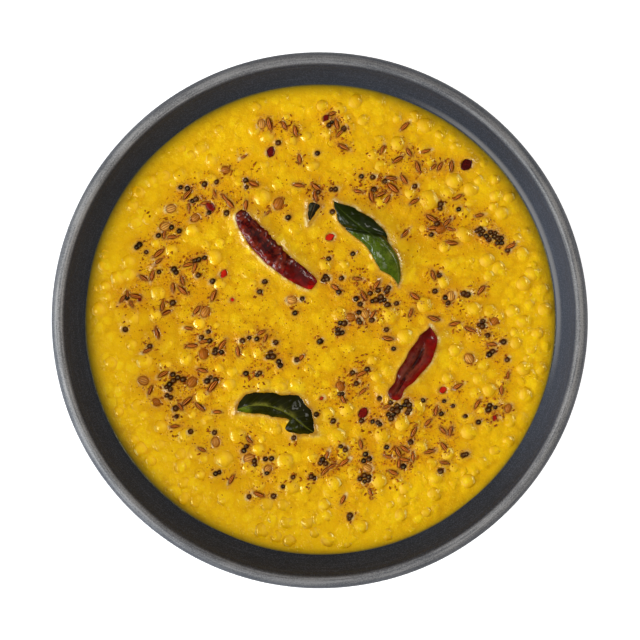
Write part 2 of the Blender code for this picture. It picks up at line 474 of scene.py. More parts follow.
class Recipe(Graph):
    """A Geometry Nodes tree that makes one mesh out of another."""

    def __init__(self, name: str) -> None:
        """Starts a tree with one geometry input and one geometry output.

        Args:
            name: its name.
        """
        super().__init__(bpy.data.node_groups.new(name, "GeometryNodeTree"))
        for way in ("INPUT", "OUTPUT"):
            self.tree.interface.new_socket("Geometry", in_out=way, socket_type="NodeSocketGeometry")
        self.start = self.tree.nodes.new("NodeGroupInput")
        self.identifiers: dict[str, str] = {}
        self.geometry = Socket(self, self.start.outputs["Geometry"])

    def inputs(self, **kinds: str) -> list[Socket]:
        """Adds named inputs to the tree.

        Args:
            **kinds: the type of each, such as Float or Material, with _ for a space in its name.

        Returns:
            Their sockets inside the tree.
        """
        names = {key: key.replace("_", " ") for key in kinds}
        for key, name in names.items():
            kind = f"NodeSocket{kinds[key]}"
            item = self.tree.interface.new_socket(name, in_out="INPUT", socket_type=kind)
            self.identifiers[key] = item.identifier
        return [Socket(self, self.start.outputs[name]) for name in names.values()]

    def kept(self, name: str) -> Socket:
        """A vector kept on the geometry."""
        return self.node("GeometryNodeInputNamedAttribute", {"Name": name}, data_type="FLOAT_VECTOR")

    def end(self, geometry: Socket, material: Socket) -> None:
        """Closes the tree: instances made real, shaded smooth, and given their material.

        Args:
            geometry: what the tree made.
            material: its material.
        """
        real = self.node("GeometryNodeRealizeInstances", {0: geometry})
        smooth = self.node("GeometryNodeSetShadeSmooth", {"Geometry": real})
        dressed = self.node("GeometryNodeSetMaterial", {"Geometry": smooth, "Material": material})
        last = self.tree.nodes.new("NodeGroupOutput")
        self.tree.links.new(dressed.output, last.inputs["Geometry"])

    def make(self, name: str, start: Any, **values: Any) -> Any:
        """Runs the tree on a mesh.

        Args:
            name: the name of the new mesh.
            start: the mesh to start from.
            **values: a value for each input.

        Returns:
            The plain mesh that comes out.
        """
        source = placed(f"{name}_source", start)
        modifier = source.modifiers.new("recipe", "NODES")
        modifier.node_group = self.tree
        for key, value in values.items():
            modifier[self.identifiers[key]] = value
        return evaluated_mesh(source, name)


# Finishes


@dataclass(frozen=True)
class Stoneware:
    """A matt charcoal glaze with a fine grain, rubbed paler along the lip, with painted light and shade on
    the lip and the inner wall.
    """

    body: Colour = swatch(42, 47, 56)
    pale: Colour = swatch(84, 90, 104)
    wear_and_glint: Colour = swatch(168, 165, 162)
    deep: Colour = swatch(30, 34, 41)
    clay: Colour = swatch(70, 62, 56)
    fleck: float = 0.42 * MM
    cloud: float = 14 * MM
    streak: float = 0.55 * MM

    def material(self, mouth: float, level: float) -> Any:
        """Makes the material.

        Args:
            mouth: the radius where the lip begins, in metres.
            level: how high the dal stands in it, in metres.

        Returns:
            The material.
        """
        s = Surface("charcoal_stoneware", Specular_IOR_Level=0.15, Coat_Roughness=0.34, Coat_IOR=1.5)
        x, y, height, flat, radius = s.level()
        turn = s.math("ARCTAN2", y, x)
        streaks = s.noise(s.joined(radius / self.streak, turn * 5.0, height / self.streak), 1.0, 2.0)
        flecks, fine = s.grain(self.fleck, 1.0), s.grain(self.fleck * 0.45, 1.0)
        cloud = s.grain(self.cloud, 3.0)
        outer_half = s.rise(radius, mouth + 4.3 * MM, mouth + 2.9 * MM)
        on_top = s.rise(radius, mouth + 0.4 * MM, mouth + 1.5 * MM)
        lip = on_top * (0.3 + 0.7 * outer_half) * s.rise(height, 51 * MM, 53 * MM)
        bare_foot = s.rise(height, 1.6 * MM, 0.9 * MM)
        grit = s.rise(flecks * 0.65 + fine * 0.35, 0.46, 0.66)
        cosine, sine = s.math("COSINE", turn), s.math("SINE", turn)
        outward = s.vector("DOT_PRODUCT", s.node("ShaderNodeNewGeometry", output="Normal"), flat)
        inner = s.rise(radius, mouth + 1.5 * MM, mouth + 0.2 * MM) * s.rise(outward, -5 * MM, -25 * MM)
        # Painted light: the inner wall is paler on the east side, as a lamp on the west would light it.
        painted_east_light = s.rise(cosine, 0.72, 1.0) * inner
        # Painted highlight: a pale strip on the inner wall just above the dal, on the east and north-east
        # side, for a wet film that catches the light.
        from_dal = s.rise(height, level + 0.1 * MM, level + 0.7 * MM)
        band_above_dal = from_dal * s.rise(height, level + 3.2 * MM, level + 1.4 * MM)
        painted_wet_glint = band_above_dal * inner * s.rise(cosine * 0.9 + sine * 0.45, 0.70, 0.96)
        # Painted shade: the inner wall is darker towards the south side.
        colour = s.mix(self.body, self.deep, s.rise(sine, 0.2, -0.8) * inner * 0.6)
        colour = s.mix(colour, self.pale, grit * 0.5 + s.rise(streaks, 0.5, 0.75) * 0.2 + painted_east_light * 0.30)
        colour = s.mix(colour, self.wear_and_glint, painted_wet_glint * 0.40)
        # The lip's rubbed paler glaze, with painted light: lighter on the west side and on two opposite sides
        # round the rim.
        rubbed = s.rise(cloud * 0.25 + flecks * 0.35 + streaks * 0.4, 0.36, 0.62)
        painted_lip_light = s.math("COSINE", turn * 2 + 0.7)
        colour = s.mix(colour, self.wear_and_glint, lip * (0.25 + 0.6 * rubbed) * (0.84 - 0.08 * cosine + 0.18 * painted_lip_light))
        colour = s.mix(colour, self.clay, bare_foot)
        roughness = 0.56 + cloud * 0.12 + bare_foot * 0.3
        relief = flecks * 0.4 + fine * 0.3 + streaks * 0.3
        s.feed("Coat Weight", lip * 0.3)
        return s.finish(colour, roughness, s.bump(relief, 0.06 * MM))


# What the gravy and the lentils share: wet, a little translucent, and a painted glow from emission.
SOFT_FLESH_AND_GLOW = {
    "IOR": 1.8,
    "Emission_Strength": 0.26,
    "Subsurface_Weight": 0.2,
    "Subsurface_Radius": (1.0, 0.6, 0.12),
    "Subsurface_Scale": 1.2 * MM,
}


@dataclass(frozen=True)
class Gravy:
    """Turmeric yellow dal: a glossy gravy with pale soft lentils, tinted by spiced oil, with painted shade,
    painted highlights and a painted glow.
    """

    deep: Colour = swatch(219, 161, 1)
    bright: Colour = swatch(244, 193, 4)
    lentil: Colour = swatch(247, 200, 6)
    cream: Colour = swatch(252, 212, 24)
    flesh: Colour = swatch(255, 222, 60)
    oil: Colour = swatch(208, 126, 1)
    stain: Colour = swatch(128, 58, 3)
    olive: Colour = swatch(82, 80, 16)
    wet: Colour = swatch(60, 60, 56)
    shadow: Colour = swatch(208, 142, 1)
    glint: Colour = swatch(255, 236, 168)

    def material(self) -> Any:
        """Makes the material, which reads the values kept on the dal's mesh.

        Returns:
            The material.
        """
        shine = {"Specular_IOR_Level": 0.17, "Specular_Tint": (1.0, 0.92, 0.45, 1.0)}
        s = Surface("dal_gravy", Coat_IOR=1.8, Coat_Roughness=0.06, **shine, **SOFT_FLESH_AND_GLOW)
        broad, mush = s.grain(24 * MM, 2.0), s.grain(3.2 * MM, 3.0, 0.6)
        grain, fine = s.grain(0.85 * MM, 2.0), s.grain(0.42 * MM, 1.0)
        lentil, oil, border, film = (s.kept(name) for name in ("lentil", "oil", "border", "film"))
        x, _, _, _, radius = s.level()
        outer = s.rise(radius, 40 * MM, 76 * MM)
        beads = s.knobs(4.4 * MM, 1.9 * MM)
        picked, brightness, _ = s.parts(beads.also("Color"))
        clear = s.rise(border, 0.5, 0.1) * s.rise(lentil, 0.6, 0.2)
        bead = s.rise(beads, 0.50, 0.14) * s.rise(picked, 0.25, 0.55) * clear
        tone = s.rise(broad * 0.3 + mush * 0.45 + grain * 0.15 + outer * 0.10, 0.38, 0.60)
        colour = s.mix(self.deep, self.bright, tone * 0.75 + bead * 0.35)
        soft = s.rise(mush * 0.5 + grain * 0.3 + fine * 0.2, 0.36, 0.62)
        colour = s.mix(colour, self.lentil, lentil * (0.55 + 0.65 * soft) + bead * brightness * soft * 0.6)
        colour = s.mix(colour, self.cream, s.rise(lentil, 0.6, 1.0) * soft * 0.8)
        colour = s.mix(colour, self.flesh, s.rise(grain * 0.55 + fine * 0.45, 0.56, 0.68) * 0.4)
        tinted = oil * s.rise(mush * 0.6 + grain * 0.4, 0.34, 0.58)
        colour = s.mix(colour, self.oil, tinted * 0.85)
        # Painted shade in the ring round each lentil.
        colour = s.mix(colour, self.shadow, s.kept("hollow") * 0.28)
        dotted = s.rise(fine * 0.55 + grain * 0.45, 0.57, 0.66) * s.rise(oil, 0.25, 0.95)
        colour = s.mix(colour, self.stain, dotted * 0.85)
        # Brown spice stain, with painted contact shade in a thin band where seeds and garnish meet the dal.
        colour = s.mix(colour, self.stain, s.kept("stain") * (0.45 + 0.4 * grain))
        # The olive border: partly a thin film over the glaze, partly painted shade along the wall.
        colour = s.mix(colour, self.olive, border)
        broken = s.rise(mush * 0.8 + grain * 0.2, 0.43, 0.60)
        colour = s.mix(colour, self.glint, s.kept("glint") * broken)
        colour = s.mix(colour, self.wet, s.kept("wet"))
        # Painted light: the dal glows by emission, most in its outer ring on the west side, where the rim
        # shades it, and not on the border.
        west = s.rise(x, 55 * MM, -55 * MM)
        s.feed("Coat Weight", film * 0.5)
        s.feed("Emission Color", s.mix(BLACK, colour, (0.10 + outer * (0.06 + 0.50 * west)) * (1 - border)))
        relief = bead * (0.5 + 0.5 * outer) * 0.58 + mush * 0.20 + grain * 0.20 + fine * 0.16
        return s.finish(colour, 0.08 + mush * 0.08 + fine * 0.06, s.bump(relief, 0.7 * MM))


@dataclass(frozen=True)
class LentilSkin:
    """A soft lentil: the colour of the gravy at its rim and creamy on top, wet all over, with a painted
    highlight towards the nearer lamp and a painted glow.
    """

    rim: Colour = swatch(226, 170, 2)
    body: Colour = swatch(237, 184, 3)
    core: Colour = swatch(247, 202, 12)
    painted_crescent_glint: Colour = swatch(255, 228, 118)

    def material(self) -> Any:
        """Makes the material, which reads each lentil's shade and form from the mesh.

        Returns:
            The material.
        """
        shine = {"Specular_IOR_Level": 0.45, "Specular_Tint": (1.0, 0.93, 0.36, 1.0)}
        s = Surface("soft_lentil", **shine, **SOFT_FLESH_AND_GLOW)
        mush, fine = s.grain(2.6 * MM, 3.0, 0.6), s.grain(0.6 * MM, 2.0)
        length, _, top = s.form()
        risen = top + (mush - 0.5) * 0.3
        shade = s.kept("shade")
        colour = s.mix(self.rim, self.body, s.rise(risen, 0.55, 0.98) * (0.35 + 0.65 * shade))
        # The creamy top: partly the lentil's own paler flesh, partly a painted soft highlight.
        colour = s.mix(colour, self.core, s.rise(risen, 0.82, 1.06) * shade)
        # Painted highlight: a pale arc near the rim of each lentil, on the side towards the nearer lamp.
        edge = s.rise(risen, 0.76, 0.62) * s.rise(risen, 0.36, 0.48)
        facing = s.rise(length + (mush - 0.5) * 0.9, 0.54, 0.80)
        colour = s.mix(colour, self.painted_crescent_glint, edge * facing * shade * 0.85)
        # Painted light: each lentil glows by emission, more on the west side.
        x, _, _ = s.parts(s.place())
        s.feed("Emission Color", s.mix(BLACK, colour, 0.24 + s.rise(x, 5 * MM, -65 * MM) * 0.68))
        inward = s.rise(length + (mush - 0.5) * 0.3, 0.10, -0.25)
        roughness = 0.08 + mush * 0.06 + inward * 0.42
        return s.finish(colour, roughness, s.bump(mush * 0.6 + fine * 0.4, 0.22 * MM))


@dataclass(frozen=True)
class ChilliSkin:
    """The glossy wrinkled skin of a fried dried chilli, with painted shade in its creases and between its
    knobs.
    """

    name: str
    dark: Colour
    red: Colour
    dull: Colour
    tip: Colour
    raisin: float
    fold: Colour = swatch(46, 4, 2)
    depth: Colour = swatch(30, 3, 5)

    def material(self) -> Any:
        """Makes the material, which reads the values kept on the chilli's mesh.

        Returns:
            The material.
        """
        s = Surface(self.name, Specular_IOR_Level=0.03, Coat_Roughness=0.05)
        mottle, fine = s.grain(2.2 * MM, 3.0, 0.6), s.grain(0.5 * MM, 2.0)
        hollow = s.kept("hollow")
        colour = s.mix(self.dark, self.red, s.rise(s.kept("flank") * 0.7 + mottle * 0.6, 0.35, 0.95))
        colour = s.mix(colour, self.tip, s.kept("tip"))
        colour = s.mix(colour, self.dull, hollow * s.rise(mottle, 0.30, 0.62))
        # Painted shade in the creases, the folds and the groove.
        colour = s.mix(colour, self.depth, s.rise(s.kept("crease"), 0.25, 0.95) * 0.85)
        knob = s.knobs(1.9 * MM, 1.0 * MM)
        # Painted shade in the folds between the knobs; the knob tops a lighter red.
        colour = s.mix(colour, self.fold, s.rise(knob, 0.38, 0.75) * self.raisin * 0.55)
        colour = s.mix(colour, self.tip, s.rise(knob, 0.30, 0.05) * self.raisin * 0.35)
        roughness = 0.38 + hollow * 0.15 + fine * 0.10
        relief = s.rise(knob, 0.70, 0.10) * self.raisin * 0.45 + mottle * 0.22 + fine * 0.08
        oily = s.rise(s.grain(3.4 * MM, 1.0), 0.47, 0.60)
        s.feed("Coat Weight", 0.13 + oily * 0.60)
        return s.finish(colour, roughness, s.bump(relief, 0.40 * MM))


VEINS = 13.0  # the side veins of a curry leaf
VEIN_SLANT = 0.16  # how far a vein runs on towards the tip at the edge, as a share of the length


@dataclass(frozen=True)
class LeafSkin:
    """The oily blade of a fried curry leaf, with a pale midrib and fine side veins."""

    name: str
    dark: Colour
    green: Colour
    sheen: Colour
    vein: Colour
    gloss: float = 0.3

    def material(self) -> Any:
        """Makes the material, which reads the values kept on the leaf's mesh.

        Returns:
            The material.
        """
        s = Surface(self.name, Specular_IOR_Level=0.03, Coat_Roughness=0.06)
        across, length = s.kept("across"), s.kept("along")
        away = s.math("ABSOLUTE", across)
        slanted = (length - away * VEIN_SLANT) * VEINS + s.grain(6 * MM, 1.0) * 0.5
        veins = s.rise(s.math("PINGPONG", slanted, 0.5), 0.07, 0.0) * s.rise(away, 1.0, 0.2)
        midrib = s.rise(away, 0.085, 0.03)
        blotch, cells = s.grain(3.5 * MM, 3.0, 0.6), s.grain(0.45 * MM, 2.0)
        lit = s.kept("green") + (blotch - 0.5) * 0.7
        colour = s.mix(self.dark, self.green, s.rise(lit, 0.15, 0.9))
        colour = s.mix(colour, self.sheen, s.kept("sheen") * s.rise(blotch, 0.3, 0.6))
        colour = s.mix(colour, self.dark, s.rise(cells * 0.5 + blotch * 0.5, 0.56, 0.40) * 0.55)
        colour = s.mix(colour, self.vein, veins * 0.14)
        colour = s.mix(colour, self.vein, midrib * 0.5)
        roughness = 0.26 + blotch * 0.12 + s.kept("sheen") * 0.15
        relief = cells * 0.35 + blotch * 0.35 - veins * 0.15 + midrib * 0.4
        oily = s.rise(s.grain(4.6 * MM, 1.0), 0.46, 0.60)
        s.feed("Coat Weight", (0.4 + oily * 1.6) * self.gloss)
        return s.finish(colour, roughness, s.bump(relief, 0.12 * MM))


@dataclass(frozen=True)
class SeedCoat:
    """The coat of a seed or the face of a crumb: two tones picked by each seed's own shade, ribs, and a
    painted shade low on its sides.

    A seed with no ribs has a painted highlight on its upper side instead.
    """

    name: str
    dark: Colour
    light: Colour
    rib_and_sheen: Colour = BLACK
    mark_weight: float = 0.0
    roughness: float = 0.38
    grain: float = 0.5 * MM
    ribs: float = 0.0

    def material(self) -> Any:
        """Makes the material, which reads each seed's shade and its ribs from the mesh.

        Returns:
            The material.
        """
        s = Surface(self.name, Specular_IOR_Level=0.05, Coat_Weight=0.14, Coat_Roughness=0.12)
        mottle = s.grain(self.grain, 2.0)
        colour = s.mix(self.dark, self.light, s.rise(s.kept("shade") + (mottle - 0.5) * 0.5, 0.0, 1.0))
        _, across, height = s.form()
        top = height + (mottle - 0.5) * 0.3
        if self.ribs:
            side = s.math("ABSOLUTE", across)
            wave = s.math("PINGPONG", side * self.ribs, 0.5) + (mottle - 0.5) * 0.25
            marks = s.rise(wave, 0.14, 0.34) * s.rise(side, 0.92, 0.72)
        else:
            # Painted highlight on the upper side of a seed with no ribs.
            marks = s.rise(top, 0.86, 1.0)
        colour = s.mix(colour, self.rib_and_sheen, marks * self.mark_weight)
        # Painted shade: each bit is darker low on its sides, where it meets the dal.
        colour = s.mix(colour, self.dark, s.rise(top, 0.62, 0.15) * 0.8)
        return s.finish(colour, self.roughness + mottle * 0.12, s.bump(mottle, 0.05 * MM))


@dataclass(frozen=True)
class Tabletop:
    """A plain pale surface with a barely visible tone."""

    light: Colour = (0.90, 0.90, 0.90)
    shade: Colour = (0.86, 0.86, 0.86)

    def material(self) -> Any:
        """Makes the material.

        Returns:
            The material.
        """
        s = Surface("pale_table", Specular_IOR_Level=0.1, Emission_Color=(1, 1, 1, 1), Emission_Strength=0.7)
        cloud = s.grain(0.3, 2.0)
        return s.finish(s.mix(self.light, self.shade, cloud), 0.7 + cloud * 0.1)


# Bowl


@dataclass
class Bowl:
    """The turned stoneware bowl, on the same superellipse wall as its CAD solid."""

    rim_radius: float
    height: float
    lip: float = 5.0 * MM
    floor: float = 7.0 * MM
    underside: float = 3.0 * MM
    foot_radius: float = 44.0 * MM
    foot_width: float = 5.0 * MM
    foot_edge: float = 1.2 * MM
    inside_fullness: Pair = (2.6, 1.25)
    lip_line: Stations = (
        (5.0, 2.7), (4.75, 2.05), (4.45, 1.35), (4.15, 0.8), (3.9, 0.5), (3.7, 0.36), (3.5, 0.32),
        (3.3, 0.14), (3.1, 0.03), (2.9, 0.0), (2.6, 0.02), (2.2, 0.11), (1.8, 0.27), (1.3, 0.58),
        (0.8, 1.05), (0.35, 1.75), (0.1, 2.4), (0, 3.1),
    )
    outside_fullness: Pair = (2.6, 1.17)
    outside_depth: float = 51.5 * MM
    unevenness: float = 0.16 * MM
    lump_size: float = 38 * MM
    freeboard: float = 13.0 * MM
    segments: int = 220
    weld: float = 0.01 * MM

    @classmethod
    def from_frame(cls) -> "Bowl":
        """A bowl of the size of the CAD node."""
        _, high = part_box("bowl")
        return cls(rim_radius=high.x, height=high.z)

    @property
    def inside_radius(self) -> float:
        """The radius of the mouth."""
        return self.rim_radius - self.lip

    @property
    def wall_top(self) -> float:
        """The height where the wall ends inside and the lip's round begins."""
        return self.height - self.lip_line[0][1] * MM

    def wall_radius(self, height: float | Array) -> float | Array:
        """The radius of the inner wall at a height."""
        drop = np.clip((self.wall_top - height) / (self.wall_top - self.floor), 0, 1)
        return self.inside_radius * (1 - drop ** self.inside_fullness[1]) ** (1 / self.inside_fullness[0])

    @staticmethod
    def _wall(radius: float, depth: float, fullness: Pair, steps: int, stop: float = 0.0) -> list[Pair]:
        """Points of a superellipse wall.

        Args:
            radius: its radius at the top.
            depth: how deep it goes.
            fullness: its exponents across and down.
            steps: how many steps it has.
            stop: the radius at which it ends below.

        Returns:
            The (radius, drop) points, from the lowest up.
        """
        across, down = fullness
        start = math.asin((stop / radius) ** (across / 2))
        angles = np.linspace(start, math.pi / 2, steps + 1)
        out = [radius * math.sin(a) ** (2 / across) for a in angles]
        return list(zip(out, (depth * abs(math.cos(a)) ** (2 / down) for a in angles)))

    def profile(self) -> Any:
        """Draws the bowl's half section.

        Returns:
            A mesh of one line, from the axis on the floor round to the axis below.
        """
        inner_foot, foot, edge = self.foot_radius - self.foot_width, self.foot_radius, self.foot_edge
        inside = self._wall(self.inside_radius, self.wall_top - self.floor, self.inside_fullness, 56)
        outside = self._wall(self.rim_radius, self.outside_depth, self.outside_fullness, 44, foot)
        points = [(radius, self.wall_top - drop) for radius, drop in inside[:-1]]
        points += [(self.rim_radius - back * MM, self.height - down * MM) for back, down in self.lip_line]
        shoulder = points[-1][1]
        points += [(radius, shoulder - drop) for radius, drop in reversed(outside[:-1])]
        for centre, turn in ((foot - edge, 0), (inner_foot + edge, -90)):
            angles = np.radians(np.linspace(turn, turn - 90, 6))
            points += [(centre + edge * math.cos(a), edge + edge * math.sin(a)) for a in angles]
        points += [(inner_foot - 0.2 * MM, self.underside - 0.3 * MM)]
        points += [(inner_foot - 0.8 * MM, self.underside)]
        points += [(inner_foot * share, self.underside) for share in (0.9, 0.75, 0.5, 0.25, 0.0)]
        mesh = bpy.data.meshes.new("bowl_profile")
        edges = [(i, i + 1) for i in range(len(points) - 1)]
        mesh.from_pydata([(radius, 0, height) for radius, height in points], edges, [])
        return mesh

    @staticmethod
    def turning() -> Recipe:
        """Turns a profile about +Z and leaves the surface a little uneven, as a hand does.

        Returns:
            The tree, with the number of segments, the unevenness and the weld distance as inputs.
        """
        r = Recipe("turning")
        sizes = {"Segments": "Int", "Unevenness": "Float", "Lump_Size": "Float", "Weld": "Float"}
        segments, unevenness, lump, weld, material = r.inputs(**sizes, Material="Material")
        count = r.node("GeometryNodeAttributeDomainSize", {"Geometry": r.geometry}, output="Point Count")
        grid = r.node("GeometryNodeMeshGrid", {"Vertices X": segments + 1, "Vertices Y": count})
        index = r.node("GeometryNodeInputIndex")
        row = index % count
        turn = (index - row) / count / segments * math.tau
        place = r.node("GeometryNodeInputPosition")
        sampled = {"Geometry": r.geometry, "Value": place, "Index": row}
        radius, _, height = r.parts(r.node("GeometryNodeSampleIndex", sampled, data_type="FLOAT_VECTOR"))
        turned = r.joined(radius * r.math("COSINE", turn), radius * r.math("SINE", turn), height)
        shaped = r.node("GeometryNodeSetPosition", {"Geometry": grid, "Position": turned})
        closed = r.node("GeometryNodeMergeByDistance", {"Geometry": shaped, "Distance": weld})
        lumps = r.noise(place, 1 / lump, 1.0)
        rings = r.noise(r.vector("MULTIPLY", place, (1, 1, 60)), 6.0, 2.0)
        push = (lumps + rings * 0.5 - 0.75) * unevenness
        offset = r.vector("SCALE", r.node("GeometryNodeInputNormal"), Scale=push)
        _, _, raised = r.parts(place)
        free = r.math("GREATER_THAN", raised, 2.5 * MM)
        sockets = {"Geometry": closed, "Selection": free, "Offset": offset}
        r.end(r.node("GeometryNodeSetPosition", sockets), material)
        return r

    def build(self) -> None:
        """Turns the bowl and shows it in place of its CAD node."""
        glaze = Stoneware().material(self.inside_radius, self.height - self.freeboard)
        mesh = self.turning().make(
            "stoneware_bowl", self.profile(), Segments=self.segments, Unevenness=self.unevenness,
            Lump_Size=self.lump_size, Weld=self.weld, Material=glaze,
        )
        show("stoneware_bowl", mesh, "stoneware", "bowl")


# Garnish


@dataclass
class Garnish:
    """A piece of garnish that lies along its own +X and is then turned and set into its CAD node's box."""

    node: str
    length: float
    bow: float
    peak: float
    turn: float

    def line(self) -> Line:
        """The centre line, in millimetres."""
        return bowed(self.length, self.bow, self.peak)

    def edges(self, t: Array) -> tuple[Array, Array]:
        """How far the piece reaches to the left and to the right of its centre line at t."""
        raise NotImplementedError

    def settle(self, points: Array) -> tuple[Array, Line]:
        """Turns the piece and fits it to the box of its CAD node.

        Args:
            points: its (n, 3) points in millimetres, lying along +X.

        Returns:
            The points in place, and a function that puts other points of the same piece in place.
        """
        angle = math.radians(self.turn)
        matrix = np.array(Matrix.Rotation(angle, 3, "Z"))
        turned = points @ matrix.T * MM
        low, high = turned.min(0), turned.max(0)
        goal_low, goal_high = (np.array(corner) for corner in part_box(self.node))
        scale = (goal_high - goal_low) / (high - low)

        def place(others: Array) -> Array:
            """Other points of the piece, in place."""
            return (others @ matrix.T * MM - low) * scale + goal_low

        return place(points), place

    def outline(self, place: Line) -> Array:
        """The piece's outline from above.

        Args:
            place: puts points of the piece in place.

        Returns:
            The (n, 2) points in place.
        """
        t = np.linspace(0, 1, 60)
        centre, left = self.line()(t), left_of(self.line(), t)
        to_left, to_right = self.edges(t)
        there = centre + left * to_left[:, None]
        back = (centre - left * to_right[:, None])[::-1]
        flat = np.concatenate((there, back))
        return place(np.column_stack((flat, np.zeros(len(flat)))))[:, :2]


@dataclass
class Chilli(Garnish):
    """A fried dried chilli: flattened, wrinkled, and sunk in along its upper side."""

    half_widths: Stations
    flatness: float
    groove: float
    groove_at: float
    groove_span: Pair
    groove_width: float
    skin: ChilliSkin
    red_side: float
    tip_from: float
    seed: float
    knobs: float = 0.0
    knob_side: float = 40.0
    wrinkle: float = 0.12
    steps: int = 170
    sides: int = 64

    @staticmethod
    def _blunt(t: Array) -> Array:
        """0 at both ends of 0 to 1 and near 1 between them."""
        fullness = 6.0
        return np.maximum(0.0, 1 - np.abs(2 * t - 1) ** fullness) ** (1 / fullness)

    def edges(self, t: Array) -> tuple[Array, Array]:
        """The half widths on both sides."""
        width = along(self.half_widths, t) * self._blunt(t)
        return width, width

    def build(self) -> Array:
        """Models the chilli and shows it.

        Returns:
            Its outline from above.
        """
        share = np.linspace(0, 1, self.steps)
        t = 0.5 - 0.5 * np.cos(math.pi * (0.004 + 0.992 * share))
        around = np.arange(self.sides) * math.tau / self.sides
        tt, aa = (axis.ravel() for axis in np.meshgrid(t, around, indexing="ij"))
        tube = np.column_stack((tt * self.length, 3 * np.cos(aa), 3 * np.sin(aa)))
        lumps = rough(tube * (0.6, 1, 1), 3.2, self.seed)
        ripples = rough(tube * (1.5, 0.7, 0.7), 1.5, self.seed + 7)
        folds = rough(tube * (0.18, 1.3, 1.3), 1.1, self.seed + 13)
        wander = aa + 0.5 * rough(tube * (1, 0, 0), 9.0, self.seed + 3)
        start, stop = self.groove_span
        span = smoothstep((tt - start) / 0.12) * smoothstep((stop - tt) / 0.15)
        gap = np.abs((wander - math.radians(self.groove_at) + math.pi) % math.tau - math.pi)
        sunk = self.groove * bell(gap, self.groove_width) * span
        lines = bell(folds, 0.10) * 0.5 + bell(ripples, 0.08) * 0.22
        knob_flank = 0.5 + 0.5 * np.cos(aa - math.radians(self.knob_side))
        knobbly = knob_flank * smoothstep((0.82 - tt) / 0.2) * self.knobs
        knobs = np.abs(rough(tube * (1.0, 0.55, 0.55), 1.9, self.seed + 19))
        skin = 1 + self.wrinkle * lumps - 0.07 * lines + 0.05 * ripples * (0.4 + sunk)
        width = self.edges(tt)[0] * (skin + knobbly * (knobs - 0.18))
        up = width * self.flatness * np.sin(aa) * (1 - sunk)
        flat = self.line()(tt) + left_of(self.line(), tt) * (width * np.cos(aa))[:, None]
        points = np.column_stack((flat, up))
        ends = [points[: self.sides].mean(0), points[-self.sides :].mean(0)]
        points, place = self.settle(np.concatenate((points, ends)))
        faces = grid_faces(self.steps, self.sides, around=True)
        first, last, count = len(tt), len(tt) + 1, self.sides
        for i in range(count):
            ahead = (i + 1) % count
            faces += [(first, ahead, i), (last, first - count + i, first - count + ahead)]
        between_knobs = knobbly * 3.0 * smoothstep(knobs / 0.3)
        values = {
            # crease: where shade is painted, in the groove, the folds and between the knobs.
            "crease": sunk / max(self.groove, 0.01) * 0.6 + lines + knobbly * bell(knobs, 0.06) * 2.0,
            "flank": 0.5 + 0.5 * np.cos(aa - math.radians(self.red_side)) + 0.25 * ripples,
            "hollow": np.maximum(bell(gap - self.groove_width * 0.9, 0.55) * span, between_knobs),
            "tip": smoothstep((tt - self.tip_from) / 0.16) * (0.7 + 0.6 * lumps),
        }
        values = {key: np.append(np.clip(kept, 0, 1), (0.0, 1.0)) for key, kept in values.items()}
        mesh = mesh_of(self.node, points, [face[::-1] for face in faces], values)
        mesh.materials.append(self.skin.material())
        show(f"{self.node}_skin", mesh, "chilli", self.node)
        return self.outline(place)


@dataclass
class Leaf(Garnish):
    """A fried curry leaf: a thin blade humped along its midrib, with a crinkled edge."""

    left: Stations
    right: Stations
    ridge: float
    skin: LeafSkin
    green: Tone
    sheen: Tone
    seed: float
    barb: Pair = (0.0, 0.0)
    fold: Triple = (0.0, 0.0, 0.0)
    tip_half_width: float = 0.45
    thickness: float = 0.4
    steps: int = 110
    columns: int = 41

    def edges(self, t: Array) -> tuple[Array, Array]:
        """The widths, with a fine crinkle.

        Args:
            t: where along the midrib.

        Returns:
            The widths to the left and to the right.
        """
        fine = 0.18 * np.array([noise.noise((x * 28, self.seed, 0)) for x in t])
        width = self.tip_half_width * smoothstep(t / 0.05) * smoothstep((1 - t) / 0.05)
        return along(self.left, t) + width + fine, along(self.right, t) + width - fine

    def build(self) -> Array:
        """Models the leaf and shows it.

        Returns:
            Its outline from above.
        """
        t = np.linspace(0.004, 0.996, self.steps)
        v = np.linspace(1, -1, self.columns)
        tt, vv = (axis.ravel() for axis in np.meshgrid(t, v, indexing="ij"))
        to_left, to_right = self.edges(tt)
        width = np.where(vv > 0, to_left, to_right)
        widest = (along(self.left, t) + along(self.right, t)).max()
        fullness = (along(self.left, tt) + along(self.right, tt)) / widest
        flat_place = np.column_stack((tt * self.length, vv * width))
        crinkle = rough(flat_place, 2.6, self.seed) * 0.34 + rough(flat_place, 1.1, self.seed + 5) * 0.12
        veins = 0.10 * bell(np.abs((tt - np.abs(vv) * VEIN_SLANT) * VEINS % 1 - 0.5) - 0.5, 0.12)
        channel = 0.35 * bell(vv, 0.07)
        height = fullness**1.3 * (self.ridge * (1 - np.abs(vv) ** 2.3) + crinkle - channel) - veins * fullness
        middle, slant, depth = self.fold
        height -= depth * bell(tt - middle - slant * vv, 0.035)
        barb_at, barb_length = self.barb
        back = np.where(vv < 0, barb_length * vv**2 * bell(tt - barb_at, 0.09), 0.0)
        flat = self.line()(tt) + left_of(self.line(), tt) * (vv * width)[:, None]
        points, place = self.settle(np.column_stack((flat[:, 0] - back, flat[:, 1], height)))
        values = {"across": vv, "along": tt, "green": self.green(tt, vv), "sheen": self.sheen(tt, vv)}
        faces = [face[::-1] for face in grid_faces(self.steps, self.columns)]
        sheet = placed(f"{self.node}_sheet", mesh_of(self.node, points, faces, values))
        shell = sheet.modifiers.new("thickness", "SOLIDIFY")
        shell.thickness = self.thickness * MM
        shell.offset = -1.0
        shell.use_even_offset = False
        mesh = evaluated_mesh(sheet, self.node)
        mesh.materials.append(self.skin.material())
        show(f"{self.node}_blade", mesh, "curry_leaf", self.node)
        return self.outline(place)


